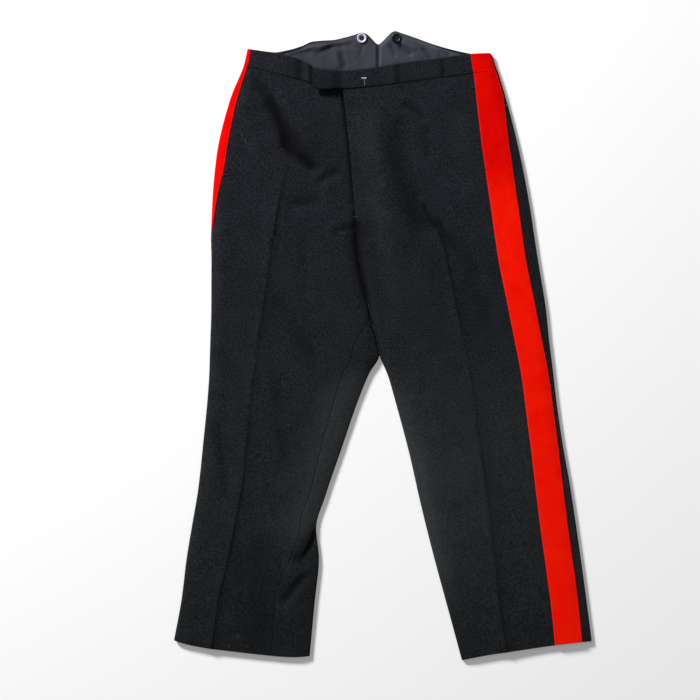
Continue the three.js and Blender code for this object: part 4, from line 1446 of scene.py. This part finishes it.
def lining(leg, marks_of, counts):
    down = lambda rows: np.stack([rows * LINING_DEPTH, rows * 0], axis=-1)
    rows, along = rows_of(down, 0.0, 1.0, 3.0)
    end = across(leg, rows, False)[4] - FOLD_RADIUS + QUARTER - 0.05
    q = columns_of(np.full(len(rows), QUARTER + LINING_SIDE), end, marks_of(leg, rows, end), counts)
    grid = rows[:, None]
    middle = cloth_point(leg, grid, -q, 0, False)[..., 0]
    inset = LINING_INSET + 5 * ease((np.abs(middle + 8) - 70) / 130)

    def place(q, out):
        points = fishtail_point(leg, grid, -q, out, inset, LINING_BELOW_SEAM)
        x, y = xy_of(points)
        free = ease((y - waist_top(x) + 12) / 16) * ease(grid / 0.08) * ease((end[:, None] - q) / 6)
        creased = CREASE_SHARE * fold_heights(LINING_CREASES, x, y)
        rippled = RIPPLE_SHARE * ripple(RIPPLE_SCALE * x, RIPPLE_SCALE * y)
        points[..., 2] += free * (LINING_PUFF + creased + rippled)
        return points

    x, y = xy_of(place(q, 0))
    rippled = 0.7 * ripple(RIPPLE_SCALE * x, RIPPLE_SCALE * y)
    # Painted shade in the hollows of the creases, towards the right side, along the top edge and at
    # the seat seam.
    low = np.clip(-fold_heights(LINING_CREASES, x, y) - rippled, 0, 1)
    shade = 0.6 * low + SIDE_SHADE * ease((24 - x) / 120) + TOP_SHADE * np.exp(-grid / 0.02)
    shade = shade + SEAT_SHADE * bell(end[:, None] - q, 2.0)
    side = leg["side"]
    under = -CLOTH - SEAM_GAP
    piece = cloth_wall(f"{side}_lining", place, q, along, under, LINING_CLOTH, shade)
    sew_on(piece, f"lining_{side}", "lining", lining_finish)


def right_lining_marks(leg, rows, end):
    step = STRIPE_HALF - leg["outseam"](rows) + 3
    return [step, step + 8, end - FISHTAIL_POINT]


lining(right_leg, right_lining_marks, [10, 4, 50, 24])
lining(left_leg, lambda leg, rows, end: [end - FISHTAIL_POINT], [60, 24])

# %% [markdown]
# Stitches are far too small to place by hand, and there are hundreds, so each is a short bead with
# pointed ends on one shared pattern of 20 points. A row of them is laid along a line on the cloth,
# one every few millimetres.

# %% Rows of stitches
BEAD_RINGS = [(-0.72, 0.8), (0.0, 1.0), (0.72, 0.8)]
UP = np.array([0.0, 0.0, 1.0])
STITCH_PITCH, STITCH_LENGTH, STITCH_RADIUS = 3.2, 2.3, 0.28
LINE_ROWS = 900
END_CLEAR = 0.03


def bead():
    """One stitch along its first axis: three rings of six points between two tips, the middle ring
    the thickest."""
    turn = np.arange(6) * TURN / 6
    rings = [
        np.stack([np.full(6, a), r * np.cos(turn), r * np.sin(turn)], axis=-1)
        for a, r in BEAD_RINGS
    ]
    points = np.concatenate([[[-1, 0, 0]], *rings, [[1, 0, 0]]])
    faces = []
    for i in range(6):
        j = (i + 1) % 6
        faces.append([0, 1 + j, 1 + i, 1 + i])
        faces += [[1 + 6 * k + i, 1 + 6 * k + j, 7 + 6 * k + j, 7 + 6 * k + i] for k in range(2)]
        faces.append([19, 13 + i, 13 + j, 13 + j])
    return points, faces


def beads(name, centres, ways, ups, length, radius, finish, slot):
    """Many stitches at once: each bead is turned to its own way along the cloth and stands up by
    its own normal. A face that names a point twice is a triangle."""
    ways = unit(ways)
    sides = unit(np.cross(ups, ways))
    ups = np.cross(ways, sides)
    shape, faces = bead()
    axes = np.stack([ways * length / 2, sides * radius, ups * radius], axis=1)
    points = centres[:, None] + np.einsum("pa,sak->spk", shape, axes)
    numbers = np.arange(len(centres))[:, None, None] * len(shape)
    faces = (np.array(faces)[None] + numbers).reshape(-1, 4).tolist()
    solid = [tuple(dict.fromkeys(face)) for face in faces]
    dress(mesh_piece(name, points.reshape(-1, 3), solid), finish, slot)
    print(name, len(centres), "stitches")


def every(points, pitch):
    """Points spaced evenly along a line, and the direction of the line at each."""
    length = length_along(points)
    at = np.arange(pitch / 2, length[-1], pitch)
    spots = [np.interp(at + d, length, points[:, k]) for d in (-0.4, 0, 0.4) for k in range(3)]
    before, here, after = (np.stack(spots[i:i + 3], axis=-1) for i in (0, 3, 6))
    return here, after - before


def stitch_line(name, leg, q_at, out, finish, slot):
    """A row of stitches down a leg, at a distance round it that can change from row to row."""
    rows = np.linspace(WAIST_SEAM + END_CLEAR, leg["last"] - END_CLEAR, LINE_ROWS)
    points = cloth_point(leg, rows, q_at(rows), out, False)
    above = cloth_point(leg, rows, q_at(rows), out + 1, False)
    centres, ways = every(points, STITCH_PITCH)
    tips, _ = every(above, STITCH_PITCH)
    count = min(len(centres), len(tips))
    centres, ways, ups = centres[:count], ways[:count], tips[:count] - centres[:count]
    beads(name, centres, ways, ups, STITCH_LENGTH, STITCH_RADIUS, finish, slot)


# %% [markdown]
# The stripe is stitched down close to each edge in its own colour. The stitches sink into the nap,
# so only half of each stands out.

# %% Stitching on the stripes
STITCH_IN = 1.9
STITCH_OUT = STRIPE_TOP + 0.02

for leg in (right_leg, left_leg):
    edges = {
        "front": lambda rows: leg["outseam"](rows) + STRIPE_HALF - STITCH_IN,
        "back": lambda rows: stripe_back(leg, rows) + STITCH_IN,
    }
    for edge, q_at in edges.items():
        name = f"{leg['side']}_stripe_{edge}_stitches"
        stitch_line(name, leg, q_at, STITCH_OUT, red_thread, "stripe")

# %% [markdown]
# Small things sit on top of the cloth: bar tacks at the ends of the pocket mouths and the fly, a
# pale tack where the hook is sewn on behind the tab, and stray threads. Each needs the height of
# the cloth under it, so a helper finds the highest point of the cloth close by.

# %% Height of the cloth at a place
clouds = []
for name, piece in laid.items():
    if not name.endswith("_end"):
        co = np.empty(3 * len(piece.data.vertices), np.float32)
        piece.data.vertices.foreach_get("co", co)
        clouds.append(co.reshape(-1, 3) / MM)
cloud = np.concatenate(clouds)


def on_cloth(xy, reach=3.5):
    """Points on top of the cloth at places seen from above: the highest mesh point within reach of
    each."""
    xy = np.asarray(xy, float)
    heights = []
    for x, y in xy:
        near = (np.abs(cloud[:, 0] - x) < reach) & (np.abs(cloud[:, 1] - y) < reach)
        heights.append(cloud[near, 2].max() if near.any() else 0.0)
    return np.column_stack([xy, heights])


print("cloth at the fly end stands", on_cloth([(-51, 240)])[0, 2].round(1), "mm high")

# %% [markdown]
# A bar tack is a row of close stitches across the end of an opening. The strain there would tear a
# plain seam.

# %% Bar tacks and the hook's pale tack


def bar_tack(name, centre, way, width, long, finish, slot, radius=0.32, pitch=0.5):
    """Close stitches side by side: each crosses the tack, and they follow each other along its
    way."""
    way = unit(np.array(way, float))
    at = np.arange(-long / 2, long / 2 + 0.01, pitch)
    xy = np.asarray(centre) + at[:, None] * way
    centres = on_cloth(xy) + [0, 0, 0.1]
    centres[:, 2] = centres[:, 2].max()
    cross = np.tile([-way[1], way[0], 0.0], (len(at), 1))
    up = np.tile(UP, (len(at), 1))
    beads(name, centres, cross, up, width, radius, finish, slot)


for name, centre, way, width, long in [
    ("left_pocket_top_tack", (165.5, 474.5), (1, -0.2), 1.8, 7.0),
    ("left_pocket_tack", (184.5, 325.5), (1, -0.15), 2.0, 9.0),
    ("right_pocket_tack", (-290.5, 313.5), (1, 0.2), 2.0, 9.0),
    ("fly_tack", (-50.5, 236.5), (1, 0.25), 2.2, 7.5),
]:
    bar_tack(name, centre, way, width, long, black_thread, "wool")
pale = (pale_thread, "pale_button")
bar_tack("hook_tack", (-34.8, 491.2), (1, 0.0), 2.9, 9.2, *pale, 0.4, 0.62)
bar_tack("hook_tack_stem", (-34.6, 487.4), (0, 1), 1.1, 5.0, *pale, 0.22, 0.55)

# %% [markdown]
# Two loose ends of thread lie on the waistband. Each is a tube on a smooth line, six points round.

# %% Loose threads


def tube_faces(rows, columns):
    """Four-sided faces between each ring of points and the next, and the rings' numbers."""
    n = np.arange(rows * columns).reshape(rows, columns)
    after = np.roll(n, -1, 1)
    quads = np.stack([n[:-1], after[:-1], after[1:], n[1:]], axis=-1).reshape(-1, 4)
    return quads, n


def loose_thread(name, spots, radius, finish, slot, lift=0.35):
    """A thin tube along a smooth line on top of the cloth, its rings square to the line."""
    spots = np.asarray(spots, float)
    t = np.linspace(0, len(spots) - 1, 12 * len(spots))
    knots = np.arange(len(spots), dtype=float)
    xy = np.stack([smooth_curve(knots, spots[:, k])(t) for k in range(2)], axis=-1)
    line = on_cloth(xy, 2.6) + [0, 0, lift]
    line[:, 2] = np.convolve(np.pad(line[:, 2], 4, mode="edge"), np.ones(9) / 9, mode="valid")
    way = unit(np.gradient(line, axis=0))
    side = unit(np.cross(way, UP))
    up = np.cross(side, way)
    turn = (np.arange(6) * TURN / 6)[None, :, None]
    ends = np.clip(1 - (2 * t / t[-1] - 1) ** 8, 0.05, 1)
    taper = radius * np.sqrt(ends)[:, None, None]
    ring = np.cos(turn) * side[:, None] + np.sin(turn) * up[:, None]
    quads, n = tube_faces(len(line), 6)
    faces = quads.tolist() + [n[0, ::-1].tolist(), n[-1].tolist()]
    points = (line[:, None] + taper * ring).reshape(-1, 3)
    dress(mesh_piece(name, points, faces), finish, slot)


hook_end = [(-34.6, 485.5), (-34.0, 481), (-34.9, 477)]
loose_thread("hook_thread_end", hook_end, 0.15, *pale)
lint_end = [(7.5, 511), (3.5, 506.5), (-1, 501), (-4, 496)]
loose_thread("waistband_lint", lint_end, 0.2, lint_thread, "wool")
print("threads laid")

# %% [markdown]
# Dark wool picks up lint. Its specks gather at the right hip, at the hems and on the waistband, so
# they are scattered by chance off a few short lines, each with its own count.

# %% Specks of lint
SPECK_LENGTH, SPECK_RADIUS = 1.1, 0.15
LINT = table("fromX fromY toX toY spread count", [
    [-266, 396, -246, 366, 5, 70],
    [-246, 366, -213, 326, 3.5, 75],
    [-271, -532, -265, -540, 6, 44],
    [-284, -552, -281, -554, 3, 12],
    [-251, -552, -248, -554, 2, 12],
    [249, -302, 252, -305, 1.5, 9],
    [-150, 500, -128, 492, 8, 14],
    [-60, 500, 60, 506, 9, 16],
])


def lint_specks(name, line, chance):
    """Short fibres scattered off a line by a normal spread, each turned at random."""
    from_x, from_y, to_x, to_y, spread, count = line
    count = int(count)
    start, end = np.array([from_x, from_y]), np.array([to_x, to_y])
    spots = start + chance.random((count, 1)) * (end - start)
    spots = spots + chance.normal(0, spread / 2, (count, 2))
    turn = chance.random(count) * TURN
    ways = np.stack([np.cos(turn), np.sin(turn), np.zeros(count)], axis=-1)
    ups = np.tile(UP, (count, 1))
    centres = on_cloth(spots, 2.2) + [0, 0, 0.05]
    beads(name, centres, ways, ups, SPECK_LENGTH, SPECK_RADIUS, lint_thread, "wool")


chance = np.random.default_rng(7)
for number, line in enumerate(rows_in(LINT)):
    lint_specks(f"lint_{number + 1}", line, chance)

# %% [markdown]
# A brace button is turned, so its outline is a profile carried round an axis. It is dished, with a
# thick rim, and its four sewing holes are deep pits in the grid. Two bars of thread hold each one
# down.

# %% Brace buttons
BUTTON_SEAT = CLOTH + SEAM_GAP + LINING_CLOTH + 0.8
BUTTON_THICK = 3.2
HOLE_OFFSET = 1.75
HOLE_RADIUS = 0.95
BUTTON_TURNS = 72


def button_profile(radius):
    """Distance from the axis and height, from the middle of the top, over the rim, to the middle
    underneath."""
    dish, rim = BUTTON_THICK - 1.1, BUTTON_THICK
    top = [(r, dish) for r in np.arange(0.15, 0.5 * radius, 0.22)]
    side = [
        (0.54, dish + 0.03), (0.60, dish + 0.22), (0.66, rim - 0.35), (0.72, rim - 0.08),
        (0.79, rim), (0.86, rim - 0.05), (0.92, rim - 0.28), (0.97, rim - 0.75),
        (1.0, rim - 1.4), (0.99, 1.2), (0.96, 0.65), (0.90, 0.25), (0.82, 0.04),
        (0.72, 0.0), (0.4, 0.0), (0.1, 0.0),
    ]
    return np.array(top + [(s * radius, z) for s, z in side])


def brace_button(name, node, centre, radius, slot, finish, reflection_share):
    """A profile carried round, with its height pulled down inside each of four holes, closed by a
    point at each pole."""
    profile = button_profile(radius)
    turn = np.arange(BUTTON_TURNS) * TURN / BUTTON_TURNS
    r, z = profile[:, :1], profile[:, 1:]
    x, y = r * np.cos(turn), r * np.sin(turn)
    holes = [
        np.hypot(x - sx * HOLE_OFFSET, y - sy * HOLE_OFFSET) for sx in (-1, 1) for sy in (-1, 1)
    ]
    pit = 1 - ease((np.min(holes, axis=0) - HOLE_RADIUS + 0.2) / 0.4)
    upper = (np.arange(len(profile)) < np.argmax(profile[:, 0]))[:, None]
    height = np.where(upper, z - pit * (z - 0.35), z)
    grid = np.stack([x, y, height], axis=-1)
    quads, n = tube_faces(*x.shape)
    first, last = zip(n[0], np.roll(n[0], -1)), zip(n[-1], np.roll(n[-1], -1))
    fans = [[n.size, a, b] for a, b in first] + [[n.size + 1, b, a] for a, b in last]
    poles = [[0, 0, profile[0, 1]], [0, 0, 0]]
    points = np.concatenate([grid.reshape(-1, 3), poles]) + [*centre, BUTTON_SEAT]
    share = np.r_[np.repeat(profile[:, 0] / radius, BUTTON_TURNS), 0, 0]
    # Painted reflection: the pale share across the glossy ring.
    ring = reflection_share * ramp(share, 0.47, 0.1) * (1 - ramp(share, 0.88, 0.08))
    faces = quads[:, [0, 3, 2, 1]].tolist() + fans
    piece = mesh_piece(name, points, faces, ring=ring)
    dress(piece, finish, slot)
    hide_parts(node)
    thread_height = BUTTON_SEAT + BUTTON_THICK - 0.9
    bars = np.array([[0, -HOLE_OFFSET, 0], [0, HOLE_OFFSET, 0]]) + [*centre, thread_height]
    bars = np.concatenate([bars + [0, d, 0.0] for d in (-0.35, 0.0, 0.35)])
    ways, ups = np.tile([1.0, 0, 0], (6, 1)), np.tile(UP, (6, 1))
    long = 2 * HOLE_OFFSET + 0.9
    beads(f"{name}_thread", bars, ways, ups, long, 0.26, black_thread, "wool")


brace_button(
    "right_brace_button", "brace_button_right", (-39, 566), 9.5, "pale_button", painted_reflection_glaze, 1.0)
brace_button(
    "left_brace_button", "brace_button_left", (24.5, 566), 9.0, "dark_button", black_glaze, 0.0)
